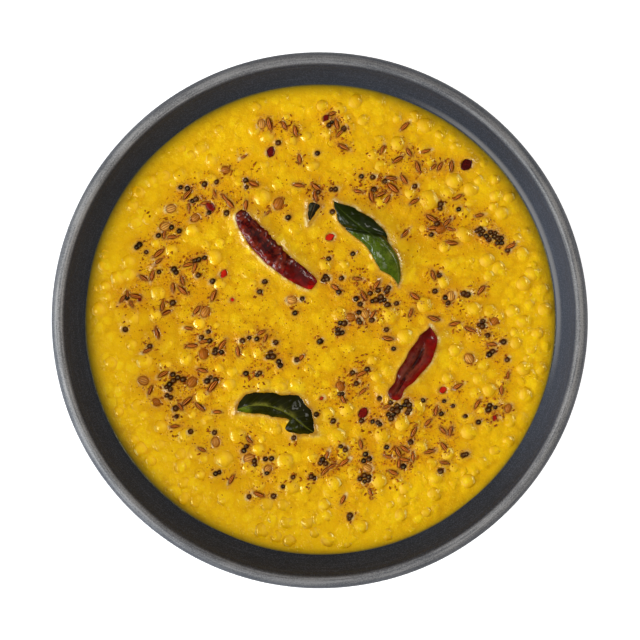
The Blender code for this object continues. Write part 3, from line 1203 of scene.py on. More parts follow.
# Spice


class Kind(Enum):
    """The kinds of small bit: half length, width and height in millimetres, and how deep it sinks."""

    MUSTARD = (0.90, 0.88, 0.86, 0.42)
    CUMIN = (1.90, 0.70, 0.60, 0.32)
    CORIANDER = (1.75, 1.45, 1.30, 0.62)
    FLAKE = (1.7, 1.5, 0.55, 0.30)
    CRUMB = (0.42, 0.30, 0.24, 0.25)
    LENTIL = (2.6, 2.6, 1.05, 0.945)

    @property
    def half_size(self) -> Triple:
        """Half its length, width and height in millimetres."""
        return self.value[:3]

    @property
    def sunk(self) -> float:
        """How much of its height lies below the dal, from 0 to 1."""
        return self.value[3]

    @property
    def reach(self) -> float:
        """Its widest half size in metres."""
        return max(self.value[:2]) * MM


@dataclass
class Bit:
    """One seed, flake or crumb on the dal: where it lies, how it is turned and how big it is."""

    kind: Kind
    x: float
    y: float
    turn: float
    size: float
    shade: float
    roll: float = 0.0
    lean: float = 0.0

    @property
    def reach(self) -> float:
        """Its widest half size in metres."""
        return self.kind.reach * self.size

    @property
    def small(self) -> bool:
        """Whether it is a mere crumb, which leaves no mark of its own on the dal."""
        return self.kind is Kind.CRUMB


# Where the tempering fell: x and y in millimetres, how far it spread, and how many mustard seeds,
# cumin seeds, coriander seeds and crumbs lie there, one digit for each.
SPRINKLES = (
    # far side
    (-18.5, 66.5, 1.6, "0111"), (-11, 67.5, 1.5, "0103"), (-8, 64.5, 0.5, "0101"), (3.5, 68.5, 2.5, "1204"),
    (6, 66, 2.5, "2104"), (-14.5, 61, 0.5, "1000"), (-1, 57.5, 0.4, "1000"), (-6.5, 55.5, 0.5, "0103"),
    (8.5, 59.5, 0.6, "0102"), (29.5, 66.5, 0.5, "0100"), (21, 58.5, 0.5, "0102"), (27, 55.5, 1.0, "0103"),
    (31, 57.5, 0.5, "0101"), (36, 58, 0.5, "0101"), (34, 53, 0.8, "0103"), (40.2, 53, 1.8, "0201"),
    (45, 53, 0.5, "0101"), (17, 53, 4, "0005"), (15, 49, 1.0, "1003"), (18.5, 49.4, 0.5, "1001"),
    (22, 48, 1.2, "1003"), (12.5, 44, 1.0, "0103"), (18, 43.5, 1.5, "1105"), (21.5, 42, 1.6, "0204"),
    (25.5, 45, 1.5, "0203"), (28.5, 47.5, 0.8, "0102"), (32, 46, 0.6, "1001"), (-7.3, 46.8, 0.5, "0101"),
    (-1.6, 44, 1.4, "1205"), (4.6, 45, 1.0, "2003"), (4.6, 37.3, 0.4, "1000"), (-14, 40, 0.5, "0014"),
    (-18.6, 36.3, 1.2, "0104"), (-10.7, 35.3, 0.4, "1000"), (-1.5, 39, 1.5, "0006"),
    # far left
    (-26, 56.5, 0.4, "0100"), (-32.5, 51.5, 0.4, "0013"), (-23, 53.3, 0.6, "0003"),
    (-24.6, 46.6, 1.8, "2101"), (-35.6, 47.8, 0.4, "1001"), (-39.8, 46.4, 0.4, "1001"),
    (-35.8, 43.8, 0.5, "0100"), (-46.5, 44.6, 2.2, "2103"), (-42.5, 40.3, 1.4, "2003"),
    (-38, 38.5, 1.8, "1108"), (-31.2, 41.6, 1.6, "0205"), (-26.5, 39, 1.4, "0104"),
    (-32, 36.5, 0.4, "1000"), (-50.8, 38.5, 0.4, "0010"), (-44.9, 38.1, 0.8, "0102"),
    (-43.1, 34.9, 0.4, "0012"), (-59, 36, 0.4, "0002"), (-53.4, 32.5, 0.4, "0013"),
    (-50.5, 30, 2.4, "2203"), (-54.5, 29.4, 0.4, "1000"), (-61.2, 24.5, 2.0, "3001"),
    (-54, 21.6, 2.2, "0203"), (-41, 19.5, 2.4, "3107"), (-45, 19.5, 1.5, "0103"), (-59, 15.2, 1.8, "0201"),
    (-55.2, 16.9, 0.4, "1000"), (-49.4, 16.7, 1.0, "2001"), (-41.9, 15.6, 0.4, "1001"),
    (-37, 13.4, 0.4, "1000"), (-47.8, 11.5, 2.4, "0304"), (-36.2, 8.4, 0.4, "0102"),
    (-66.4, 6.8, 3.0, "1402"), (-50.6, 5.5, 0.4, "1001"), (-54, 4, 1.6, "0204"), (-42.5, 3.3, 0.8, "0102"),
    (-39.2, 2.5, 0.4, "0012"), (-21, 10, 0.8, "1003"), (-18.8, 13.2, 0.4, "1001"),
    # near left
    (-67, -3.2, 0.4, "1001"), (-55.6, -4.6, 0.5, "0102"), (-59.3, -9.4, 1.2, "1102"),
    (-45, -3.5, 1.4, "0102"), (-39, -5.5, 2.0, "3105"), (-44.2, -8.6, 0.5, "0101"),
    (-40.3, -11.6, 0.4, "0011"), (-35.3, -10.8, 1.8, "3107"), (-27.9, -11, 0.5, "0101"),
    (-26.7, -7.4, 0.4, "1001"), (-23, -7.0, 2.2, "2003"), (-19, -6.2, 1.0, "0201"),
    (-40.3, -16.5, 0.8, "0102"), (-37.5, -20.6, 1.8, "3105"), (-53.4, -18.5, 0.8, "0102"),
    (-49.5, -20, 1.8, "3003"), (-51.8, -22.8, 1.6, "3003"), (-44.5, -21.5, 0.8, "0013"),
    (-46.8, -20.8, 1.2, "1003"), (-60.5, -21, 0.4, "0010"), (-58.4, -23.8, 0.5, "0101"),
    (-52, -26.5, 1.0, "2001"), (-56.6, -28.2, 0.4, "0011"), (-49.4, -30, 0.8, "1102"),
    (-45.5, -28.2, 0.5, "0102"), (-41, -30.2, 0.5, "0100"), (-35.6, -31.6, 0.5, "0100"),
    (-49.5, -33, 0.4, "1002"), (-50.3, -37.2, 0.8, "0102"), (-17, -12, 2.2, "3002"),
    (-14.4, -15.4, 1.6, "2001"), (-15, -7.8, 0.4, "1000"), (-7, -13.2, 1.6, "1101"),
    (-25.5, -18.6, 1.0, "1004"), (-20, -19.2, 1.8, "2004"), (-23, -22.5, 3.0, "0009"),
    (-44.4, -38.1, 0.4, "1000"), (-36.4, -38.5, 0.4, "1002"), (-35.9, -41.6, 0.4, "0010"),
    (-40.4, -44.4, 0.5, "0101"), (-24.6, -41, 0.6, "0102"), (-35, -52.7, 0.9, "2001"),
    (-30.3, -55.1, 0.4, "0101"), (-26, -45, 1.6, "2002"), (-24.6, -47.4, 0.4, "0010"),
    (-22, -49.4, 1.2, "2002"), (-17.8, -47.4, 1.4, "2002"), (-17.4, -51.6, 1.6, "1012"),
    (-24.4, -61, 0.4, "1000"), (-21, -60.2, 0.4, "0100"), (-15.9, -60.8, 0.4, "1000"),
    (-12.7, -57.7, 0.6, "1001"), (-9.4, -54.1, 0.6, "1003"), (-9, -40.8, 0.5, "1002"),
    (-1.5, -32.4, 0.4, "1001"), (4.8, -34.2, 0.6, "1002"), (-3, -54.6, 1.5, "2005"),
    # middle
    (3.4, 21.6, 0.8, "1003"), (11.2, 23.1, 0.8, "1001"), (1.4, 14.4, 1.2, "3001"), (7.6, 14.6, 0.4, "1000"),
    (5.6, 9.8, 1.2, "1101"), (-9.5, 7, 0.4, "0011"), (-6, 7.4, 0.4, "1001"), (-8.7, 2.9, 0.5, "1003"),
    (13.4, 15.2, 1.4, "0107"), (13.4, 6.8, 1.4, "2001"), (16.5, 9, 1.6, "0105"), (19.4, 7.6, 2.0, "5003"),
    (22, 6.2, 1.0, "2001"), (19.8, 11.4, 1.6, "1104"), (23.2, 10.8, 1.0, "2001"), (26.6, 5.8, 0.4, "1001"),
    (10.9, 1.1, 0.4, "0011"), (15.5, 2.1, 0.4, "0011"), (13, 2.6, 1.0, "1002"), (18, 1.2, 1.2, "1103"),
    (13.6, -0.8, 1.2, "2004"), (8, -0.8, 1.0, "2002"), (7, -3.4, 1.4, "3002"), (0.4, -7.4, 0.5, "1002"),
    (22.6, -3.5, 0.4, "1000"), (23.6, -6.2, 0.4, "0100"), (25, -9.6, 0.4, "1000"),
    (11.3, -18.1, 0.4, "1001"), (14.6, -17.6, 0.8, "0103"), (16.1, -17.1, 0.4, "1000"),
    (15, -13.6, 0.8, "0005"), (12.3, -21.9, 0.4, "1002"), (14.9, -24.3, 0.6, "0104"),
    (7.2, -22.4, 0.4, "0011"), (7.6, -25, 1.2, "2002"), (8.4, -28, 0.8, "0104"), (8.2, -19.6, 0.8, "0004"),
    # far right
    (32.4, 41.1, 0.5, "0101"), (48, 42.2, 0.6, "0101"), (44, 40.2, 0.8, "0003"), (47.6, 37.6, 1.0, "1002"),
    (41.3, 38.7, 0.9, "2002"), (38.5, 35.1, 0.5, "0101"), (40, 32.6, 1.6, "1104"), (41.1, 31, 0.4, "0011"),
    (44.6, 32, 1.2, "0204"), (37.9, 29.2, 0.4, "1001"), (44.9, 26.4, 0.5, "0101"),
    (54.4, 35.9, 0.5, "0101"), (55.4, 30.4, 1.4, "4001"), (58.6, 29, 1.6, "5001"),
    (61.6, 27.6, 1.4, "4002"), (64.6, 24.2, 1.2, "1102"), (29.1, 29.6, 0.6, "0101"),
    (40.4, 15.8, 1.2, "1103"), (32.4, 8.2, 0.5, "0101"), (39.3, 9.8, 0.5, "1001"), (44.9, 8.2, 0.4, "0011"),
    (43, 7.6, 0.4, "1001"), (49.8, 9.4, 1.0, "2003"), (44.1, 5.6, 0.4, "1001"), (47.6, 5.8, 0.8, "0003"),
    (55.7, 10.4, 0.5, "0102"), (31.6, 2.5, 0.8, "0102"), (38.9, 0.3, 0.5, "0101"), (46, -1.9, 0.8, "0102"),
    (51.6, -3.5, 0.5, "0101"), (60, 0.1, 0.4, "0011"), (55.4, -1.6, 1.2, "3003"), (57.4, -5, 0.6, "1002"),
    (63.3, -7.4, 0.4, "1001"), (58.6, -8.6, 0.8, "0103"), (59, -11.6, 1.0, "2001"),
    (64.5, -13.6, 0.4, "1001"), (51.4, -13, 0.4, "0011"), (64.3, -18.5, 0.5, "0101"),
    (62.7, -23.3, 0.8, "0102"),
    # near right
    (47.2, -22.9, 0.5, "0101"), (36, -27.8, 0.8, "1002"), (42.7, -27.6, 0.4, "1000"),
    (45.6, -29, 0.4, "1000"), (39.7, -30.6, 0.6, "0101"), (41.7, -32, 0.4, "1001"),
    (20.8, -26.8, 0.6, "1000"), (24, -28.8, 1.2, "1103"), (24.6, -31.6, 1.6, "4002"),
    (27.6, -30, 1.6, "4002"), (30.2, -29, 1.4, "3000"), (30, -31.5, 0.4, "1000"), (19.4, -35, 1.4, "3003"),
    (14.4, -34.4, 0.6, "1001"), (16.6, -36, 0.8, "0004"), (14.6, -42.6, 0.5, "0101"),
    (8, -44.4, 1.2, "2003"), (1.4, -48.2, 1.8, "3104"), (3.4, -50.4, 1.2, "0204"),
    (8.2, -49.2, 0.6, "0103"), (15.4, -47, 1.6, "3003"), (16.6, -51, 0.4, "0012"), (15.4, -55, 1.8, "5004"),
    (17.5, -58.4, 0.8, "0104"), (23.1, -43.6, 0.5, "1001"), (23.5, -47.2, 0.5, "0101"),
    (28, -46, 1.8, "0308"), (30.4, -47.6, 1.0, "0104"), (29, -49.6, 0.8, "1103"),
    (25.1, -52.7, 0.5, "0101"), (26, -56, 1.0, "0004"), (31.4, -41.6, 0.4, "1000"),
    (32.4, -37.7, 0.8, "0104"), (37.1, -35.1, 0.6, "0101"), (42.6, -37.6, 1.4, "0202"),
    (50.2, -33.1, 0.4, "1000"), (54.6, -35.3, 0.4, "1000"), (54.4, -28.8, 0.6, "0101"),
    (59, -30, 1.6, "3004"), (64.3, -30, 0.5, "0011"), (60, -33.2, 1.2, "0007"), (42.5, -43.8, 0.5, "0101"),
    (37.9, -45, 0.6, "0101"), (49.3, -46, 0.8, "2000"), (42.7, -48.4, 0.5, "0101"),
    (41.5, -51.5, 0.4, "1000"), (7.6, -61.8, 0.4, "0100"), (9.8, -68, 1.0, "2001"),
)

# Flakes of chilli: x, y, turn, size and how bright a red.
FLAKES = (
    (-16.8, 57.7, 60, 1.0, 0.25), (50.2, 53.3, 20, 1.2, 0.12), (3.4, 28.4, 0, 0.85, 1.0),
    (-33, 15.9, 40, 0.8, 0.8), (-30, 7, 0, 0.45, 0.8), (42.3, -24, 10, 0.8, 0.7),
    (0.6, -26.8, 0, 0.45, 0.6), (14.9, -31.8, 30, 1.05, 0.3), (-37.6, 38.9, 120, 1.0, 0.35),
    (2, 69.2, 30, 0.7, 0.25), (-62, 7, 70, 0.4, 0.3), (60, -33.5, 50, 0.6, 0.5),
)

# The lentils that lie whole on top: x, y and radius in millimetres.
WHOLE_LENTILS = (
    (-32.9, -47.8, 3.3), (-11.7, -48.5, 3.2), (-48, -50.3, 2.3), (-40, -48, 1.7), (-41.2, -53.1, 2.0),
    (-2.4, -47.2, 2.0), (-20, -72.3, 2.8), (29.3, -5.8, 3.2), (23.8, 1.9, 3.0), (69.8, 12.6, 2.7),
    (35.7, 5.3, 2.8), (52.8, 3.7, 2.7), (46.4, -10.2, 2.4), (69.8, -16.5, 2.5), (57.9, 15.2, 2.2),
    (6, -40, 3.3), (21.5, -39.3, 2.9), (28.2, -35.7, 2.6), (34.6, -43.6, 2.6), (20.3, -55.1, 2.9),
    (4.9, -55.9, 2.6), (51.2, -38.1, 3.0), (39.7, -53.9, 2.8), (50.8, -55.1, 2.6), (33.4, -30.1, 3.1),
    (-46.1, -13.4, 2.4), (-41.3, -1.1, 2.2), (-69.5, 14.4, 2.7), (-55.6, 9.2, 2.8), (-60.3, -14.2, 3.0),
    (-52.8, -15.7, 2.4), (-19.6, 42.2, 3.2), (-43.7, 30.8, 2.5), (46, 47.8, 2.9), (60.3, 42.6, 2.2),
    (62.3, 36.7, 2.5), (37.3, 41.4, 3.4), (26.6, 60.5, 2.4), (-28.2, -39.7, 2.8), (1, 73.5, 2.0),
    (14.5, -71, 2.2), (-64.7, -8.6, 2.0), (66, 3, 2.4), (54.4, 47.8, 2.0), (44, -46, 2.2), (58, -24, 2.5),
)


@dataclass
class Tempering:
    """The seeds, flakes and crumbs that lie on the dal, strewn in groups where they fell."""

    reach: float
    outlines: list[Array]
    draw: random.Random = field(default_factory=lambda: random.Random(23))
    bits: list[Bit] = field(default_factory=list)
    tries: int = 40
    crumb_spread: float = 2.2

    def _free(self, x: float, y: float, reach: float) -> bool:
        """Whether a place is clear of the garnish and of other seeds.

        Args:
            x: the place.
            y: the place.
            reach: how much room is wanted round it, in metres.

        Returns:
            True if it is clear.
        """
        if math.hypot(x, y) > self.reach:
            return False
        if any(inside_depth(np.array([[x, y]]), outline)[0] > -reach * 0.7 for outline in self.outlines):
            return False
        seeds = (bit for bit in self.bits if not bit.small)
        return all(math.hypot(x - seed.x, y - seed.y) > 0.8 * (reach + seed.reach * 0.8) for seed in seeds)

    def _drop(self, kind: Kind, x: float, y: float, spread: float) -> None:
        """Drops one bit near a place, or a little further off if there is no room.

        Args:
            kind: its kind.
            x: the place in millimetres.
            y: the place in millimetres.
            spread: how far from it the bit may fall, in millimetres.
        """
        size = self.draw.gauss(1.0, 0.14 if kind is Kind.CUMIN else 0.09)
        reach = kind.reach * size * (0.45 if kind is Kind.CRUMB else 0.75)
        for tries in range(self.tries):
            away = spread * MM * (1 + tries * 0.06) * math.sqrt(self.draw.random())
            angle = self.draw.uniform(0, math.tau)
            spot = (x * MM + away * math.cos(angle), y * MM + away * math.sin(angle))
            if self._free(*spot, reach):
                turn = self.draw.uniform(0, math.pi)
                shade = self.draw.random()
                self.bits.append(Bit(kind, *spot, turn, max(size, 0.6), shade, self.draw.gauss(0, 0.25)))
                return

    def strew(self) -> None:
        """Lays out every bit, the flakes first and the crumbs last."""
        for x, y, turn, size, shade in FLAKES:
            self.bits.append(Bit(Kind.FLAKE, x * MM, y * MM, math.radians(turn), size, shade))
        for x, y, spread, counts in SPRINKLES:
            for kind, count in zip((Kind.MUSTARD, Kind.CUMIN, Kind.CORIANDER), counts):
                for _ in range(int(count)):
                    self._drop(kind, x, y, spread)
        for x, y, spread, counts in SPRINKLES:
            for _ in range(int(counts[3]) * 2):
                self._drop(Kind.CRUMB, x, y, spread + self.crumb_spread)

    def weight(self, points: Array, width: float) -> Array:
        """How thickly the spice lies at points.

        Args:
            points: (n, 2) places.
            width: how far each bit's oil and dust spread, in metres.

        Returns:
            A value of 0 or more for each point.
        """
        total = np.zeros(len(points))
        for bit in self.bits:
            if not bit.small:
                near = ((points - (bit.x, bit.y)) ** 2).sum(1) / width**2
                total += np.exp(-near) * bit.reach / (2 * MM)
        return total


def inside_depth(points: Array, outline: Array) -> Array:
    """How deep points lie inside a closed outline.

    Args:
        points: (n, 2) places.
        outline: its (m, 2) corners.

    Returns:
        The distance to the outline, negative outside it.
    """
    start, stop = outline, np.roll(outline, -1, axis=0)
    side = stop - start
    length = np.maximum((side**2).sum(1), 1e-18)
    toward = points[:, None, :] - start[None, :, :]
    share = np.clip((toward * side).sum(2) / length, 0, 1)
    distance = np.sqrt(((toward - share[..., None] * side) ** 2).sum(2).min(1))
    above = (start[:, 1] > points[:, None, 1]) != (stop[:, 1] > points[:, None, 1])
    rise = np.where(side[:, 1] == 0, 1e-12, side[:, 1])
    crossing = start[:, 0] + (points[:, None, 1] - start[:, 1]) * side[:, 0] / rise
    inside = (above & (points[:, None, 0] < crossing)).sum(1) % 2 == 1
    return np.where(inside, distance, -distance)


# Dal


@dataclass
class Lentil:
    """A soft lentil near the top: its place, radius, height, how long it is, how pale and how proud."""

    x: float
    y: float
    radius: float
    height: float
    turn: float
    long: float
    pale: float
    proud: float


@dataclass(frozen=True)
class Settled:
    """A piece of garnish in place: its outline, how high the dal climbs at it, and how deep it lies."""

    outline: Array
    climb: float
    hollow: float


class Patch:
    """Points of the dal's top, sorted so that those near a place are found fast."""

    def __init__(self, points: Array) -> None:
        """Sorts the points.

        Args:
            points: the (n, 2) points.
        """
        self.points = points
        self.order = np.argsort(points[:, 0])
        self.sorted_x = points[self.order, 0]

    def near(self, x: float, y: float, reach: float) -> Array:
        """Finds the points in a square round a place.

        Args:
            x: the square's middle.
            y: the square's middle.
            reach: half its side.

        Returns:
            Their indices.
        """
        low, high = np.searchsorted(self.sorted_x, (x - reach, x + reach))
        found = self.order[low:high]
        return found[np.abs(self.points[found, 1] - y) < reach]

    def oval(self, x: float, y: float, size: Pair, turn: float, reach: float) -> tuple:
        """The points round an oval.

        Args:
            x: its centre.
            y: its centre.
            size: its half length and half width.
            turn: its angle in radians.
            reach: how far from its centre to look.

        Returns:
            The indices, and how far out each is: 0 at the centre, 1 on the oval.
        """
        found = self.near(x, y, reach)
        away = self.points[found] - (x, y)
        cosine, sine = math.cos(turn), math.sin(turn)
        lengthwise = (away[:, 0] * cosine + away[:, 1] * sine) / size[0]
        sideways = (away[:, 1] * cosine - away[:, 0] * sine) / size[1]
        return found, np.hypot(lengthwise, sideways)


@dataclass
class Dal:
    """The dal: its lumpy top, and the solid below it down to the bowl's floor."""

    bowl: Bowl
    cells: int = 302
    wall_overlap: float = 0.3 * MM
    border: float = 5.5 * MM
    border_drop: float = 0.25 * MM
    climb: float = 0.35 * MM
    swell: float = 0.45 * MM
    seed: int = 11
    sunken_lentils: int = 2300
    below: tuple[float, ...] = (40.0, 32.0, 20.0, 7.2)
    map_width: float = 0.96
    map_corner: float = 0.068
    map_corner_reach: float = 0.06

    def __post_init__(self) -> None:
        """Works out the level, the reach of the top and where the lentils lie."""
        self.level = self.bowl.height - self.bowl.freeboard
        self.contact = float(self.bowl.wall_radius(self.level + self.climb))
        self.radius = self.contact + self.wall_overlap
        self.lentils = self._lay_lentils()

    def _lay_lentils(self) -> list[Lentil]:
        """Lays the whole lentils on top, and many more that lie half under the gravy.

        Returns:
            All of them.
        """
        draw = random.Random(self.seed)
        laid = []

        def add(x: float, y: float, radius: float, height: float, pale: float, proud: float) -> None:
            """Keeps one lentil."""
            turn, long = draw.uniform(0, math.pi), draw.uniform(1.0, 1.16)
            laid.append(Lentil(x, y, radius, height, turn, long, pale, proud))

        for x, y, radius in WHOLE_LENTILS:
            height = radius * MM * draw.uniform(0.28, 0.36)
            add(x * MM, y * MM, radius * MM, height, draw.uniform(0.75, 1.0), 1.0)
        reach = self.radius - self.border * 0.6
        for _ in range(self.sunken_lentils):
            away = reach * math.sqrt(draw.random())
            angle = draw.uniform(0, math.tau)
            x, y = away * math.cos(angle), away * math.sin(angle)
            outer = away / reach
            side = 0.5 + 0.5 * math.cos(angle + 0.6)
            radius = draw.uniform(1.3, 2.8) * MM
            proud = draw.random() < 0.06 + 0.30 * outer**2 * (0.70 + 0.30 * side)
            others = (other for other in laid if other.proud)
            proud = proud and all(math.hypot(x - o.x, y - o.y) > 0.8 * (radius + o.radius) for o in others)
            radius = radius * 0.9 + 0.4 * MM if proud else radius
            share = draw.uniform(0.20, 0.32) if proud else draw.uniform(0.04, 0.13)
            pale = draw.uniform(0.2, 1.0) if proud else draw.uniform(0.0, 0.85)
            add(x, y, radius, radius * share, pale, float(proud))
        return laid

    def resting(self, points: Array) -> Values:
        """The dal's top with nothing lying in it.

        Args:
            points: (n, 2) places.

        Returns:
            Its height, how much each place shows of lentil, the border along the wall, which is partly
            painted shade, the wet band on the wall, and the hollow, a painted shade round each lentil.
        """
        away = np.hypot(points[:, 0], points[:, 1])
        height = self.level + self.swell * rough(points, 21 * MM)
        calm = smoothstep((away - self.radius + 9 * MM) / (7 * MM))
        lumps = 0.17 * rough(points, 4.2 * MM, 5.0) + 0.06 * rough(points, 1.9 * MM, 9.0)
        height += lumps * MM * (1 - 0.8 * calm)
        broad, fine = ([rough(points, size * MM, at) for at in (41.0, 67.0)] for size in (4.6, 1.6))
        patch = Patch(points + np.transpose(broad) * 0.9 * MM + np.transpose(fine) * 0.25 * MM)
        dome, pale, ring = np.zeros((3, len(points)))
        for lentil in self.lentils:
            size = (lentil.radius * lentil.long, lentil.radius)
            found, out = patch.oval(lentil.x, lentil.y, size, lentil.turn, lentil.radius * 1.6)
            side = math.tanh(lentil.x / (16 * MM))
            lean = np.array((0.98, 0.12)) * side * 0.05 * lentil.proud
            tilt = (patch.points[found] - (lentil.x, lentil.y)) @ lean
            inside = np.minimum(out, 1.0)
            cap = (1 - inside**2) ** (0.8 if lentil.proud else 1.3)
            rise = (lentil.height * cap + tilt) * (1 - inside**9)
            raise_to(dome, found, rise)
            raise_to(pale, found, lentil.pale * smoothstep((1.04 - out) / 0.5))
            raise_to(ring, found, lentil.pale * bell(out - 1.06, 0.13))
        calmed = smoothstep((away - self.radius + self.border) / self.border)
        height += dome * (1 - calmed) - self.border_drop * calmed
        gap = np.maximum(self.contact - away, -0.3 * MM)
        height += self.climb * np.exp(-gap / (0.45 * MM))
        # Painted shade along the wall: the olive border stands partly for a thin film of dal over the dark
        # glaze and partly for the shade of the rim, widest on the north-west side.
        shaded = 1.9 + 0.6 * np.cos(np.arctan2(points[:, 1], points[:, 0]) - 2.5)
        wall = np.exp(-((np.maximum(gap, 0) / (shaded * MM)) ** 1.25))
        wet = smoothstep((0.75 * MM - gap) / (0.45 * MM))
        # Painted shade: a darker ring round each lentil where it meets the gravy.
        hollow = ring * (1 - pale) * (1 - calmed)
        return {"height": height, "lentil": pale * (1 - calmed), "border": wall, "wet": wet, "hollow": hollow}

    def _round_grid(self) -> Array:
        """Draws a square grid out to a disc so that every cell keeps the same area.

        Returns:
            The (n, 2) points.
        """
        line = np.linspace(-1, 1, self.cells)
        a, b = (axis.ravel() for axis in np.meshgrid(line, line, indexing="ij"))
        wide = np.abs(a) > np.abs(b)
        out = np.where(wide, a, b)
        east = b / np.where(wide, a, 1) * math.pi / 4
        north = math.pi / 2 - a / np.where(wide, 1, b) * math.pi / 4
        spread = out * (1.02 - 0.02 * np.abs(out) ** 30) * self.radius
        angle = np.where(wide, east, north)
        return np.column_stack((spread * np.cos(angle), spread * np.sin(angle)))

    def _smooth(self, values: Array) -> Array:
        """Averages each point of the grid with its neighbours, leaving the outer ring alone.

        Args:
            values: a value for each point.

        Returns:
            The averaged values.
        """
        square = values.reshape(self.cells, self.cells).copy()
        sides = square[:-2, 1:-1] + square[2:, 1:-1] + square[1:-1, :-2] + square[1:-1, 2:]
        square[1:-1, 1:-1] = square[1:-1, 1:-1] * 0.5 + sides * 0.125
        return square.ravel()

    @staticmethod
    def _lit_side(x: float) -> Array:
        """The direction of the nearer lamp from the side of the bowl where x lies, as a unit vector."""
        return np.array((math.cos(LAMP_TURN), math.sin(LAMP_TURN))) * (-1.0 if x < 0 else 1.0)

    def _sink(self, bits: list[Bit], patch: Patch, height: Array, values: Values) -> Array:
        """Raises the dal round every seed and hollows it under.

        Args:
            bits: what lies in it.
            patch: the points of the top.
            height: their height with nothing in it.
            values: how stained and how wet the dal is beside things, with the painted highlight and the
                painted contact shade there, which is added to.

        Returns:
            The new height.
        """
        climb, pit = np.zeros((2, len(height)))
        for bit in bits:
            half_long, half_wide, half_high = (half * bit.size * MM for half in bit.kind.half_size)
            slender = bit.kind is Kind.CUMIN
            film = (0.05 if bit.small else 0.22 if slender else 0.34) * MM
            reach = (0.55 if slender else 0.7) * MM
            size = (half_long * 0.97, half_wide * 0.97)
            found, out = patch.oval(bit.x, bit.y, size, bit.turn, bit.reach + 3.2 * reach)
            beyond = np.maximum(0, out - 1) * math.sqrt(size[0] * size[1])
            raise_to(climb, found, np.where(out > 1, film * np.exp(-beyond / reach), 0))
            raise_to(pit, found, half_high * 0.9 * np.maximum(0, 1 - out**2) ** 0.5)
            if not bit.small:
                away = (patch.points[found] - (bit.x, bit.y)) / np.maximum(out, 0.1)[:, None] / bit.reach
                # A painted highlight on the side towards the nearer lamp, and painted contact shade at the
                # seed's edge.
                facing = np.clip(away @ self._lit_side(bit.x), 0, 1) ** 2
                bright = facing * bell(beyond - 0.45 * MM, 0.36 * MM) * (0.25 + 0.75 * bit.shade)
                mark(values, found, glint=bright, stain=bell(beyond, 0.4 * MM), film=bell(beyond, 1.1 * MM))
        return height + climb * (pit == 0) - pit

    def _lap(self, settled: Settled, patch: Patch, height: Array, values: Values) -> None:
        """Lets the dal climb at a piece of garnish, and hollows it under it.

        Args:
            settled: the piece of garnish.
            patch: the points of the top.
            height: their height, which is changed.
            values: how stained and how wet the dal is beside things, with the painted highlight and the
                painted contact shade there, which is added to.
        """
        low, high = settled.outline.min(0), settled.outline.max(0)
        found = patch.near(*(low + high) / 2, (high - low).max() / 2 + 6 * MM)
        here = patch.points[found]
        inside = inside_depth(here, settled.outline)
        step = 0.2 * MM
        lit = self._lit_side((low[0] + high[0]) / 2)
        facing = np.clip((inside - inside_depth(here + lit * step, settled.outline)) / step, 0, 1)
        bright = 0.06 + facing**1.5 * (0.55 + 0.6 * settled.climb / MM)
        glint = np.clip(bell(inside + 0.4 * MM, 0.38 * MM) * bright, 0, 1)
        # A painted highlight on the side towards the nearer lamp, and painted contact shade along the
        # outline.
        outside = np.minimum(inside, 0)
        mark(values, found, glint=glint, stain=0.8 * bell(outside, 0.45 * MM), film=bell(outside, 1.6 * MM))
        film = settled.climb * np.exp(outside / (2.0 * settled.climb))
        height[found] = height[found] + film - settled.hollow * smoothstep((inside - 0.15 * MM) / (1.3 * MM))

    def build(self, tempering: Tempering, garnish: list[Settled]) -> None:
        """Models the dal and shows it.

        Args:
            tempering: the spice that lies in it.
            garnish: the chillies and leaves that lie in it.
        """
        flat = self._round_grid()
        top = self.resting(flat)
        patch = Patch(flat)
        values = {key: np.zeros(len(flat)) for key in ("stain", "film", "glint")}
        height = self._sink(tempering.bits, patch, self._smooth(top.pop("height")), values)
        for settled in garnish:
            self._lap(settled, patch, height, values)
        values["oil"] = 1 - np.exp(-1.05 * tempering.weight(flat, 4.2 * MM))
        mesh = self._solid(flat, height, top | values)
        mesh.materials.append(Gravy().material())
        show("dal_in_bowl", mesh, "dal", "dal")

    def _solid(self, flat: Array, height: Array, attributes: Values) -> Any:
        """Closes the top with a side that reaches just into the wall, and a flat underside.

        Args:
            flat: the grid's (n, 2) points.
            height: their heights.
            attributes: values to keep at them.

        Returns:
            The closed mesh, with its own map from above.
        """
        n = self.cells
        index = np.arange(n * n).reshape(n, n)
        loop = np.concatenate((index[:-1, 0], index[-1, :-1], index[:0:-1, -1], index[0, :0:-1]))
        points = [np.column_stack((flat, height))]
        faces = grid_faces(n, n)
        top_faces = len(faces)
        direction = flat[loop] / np.linalg.norm(flat[loop], axis=1, keepdims=True)
        upper = loop
        for step, down in enumerate(self.below):
            radius = float(self.bowl.wall_radius(max(down * MM, self.bowl.floor + 0.6 * MM))) + 0.2 * MM
            ring = np.column_stack((direction * radius, np.full(len(loop), down * MM)))
            lower = n * n + step * len(loop) + np.arange(len(loop))
            points.append(ring)
            corners = (upper, lower, np.roll(lower, -1), np.roll(upper, -1))
            faces += np.stack(corners, axis=1).tolist()
            upper = lower
        points.append(np.array([[0, 0, self.below[-1] * MM]]))
        centre = n * n + len(self.below) * len(loop)
        faces += [(centre, int(b), int(a)) for a, b in zip(upper, np.roll(upper, -1))]
        hidden = {key: np.full(centre + 1 - n * n, float(key in ("border", "wet"))) for key in attributes}
        kept = {key: np.append(values, hidden[key]) for key, values in attributes.items()}
        everything = np.concatenate(points)
        mesh = mesh_of("dal_in_bowl", everything, faces, kept)
        self._lay_map(mesh, everything, top_faces * 4, len(loop))
        return mesh

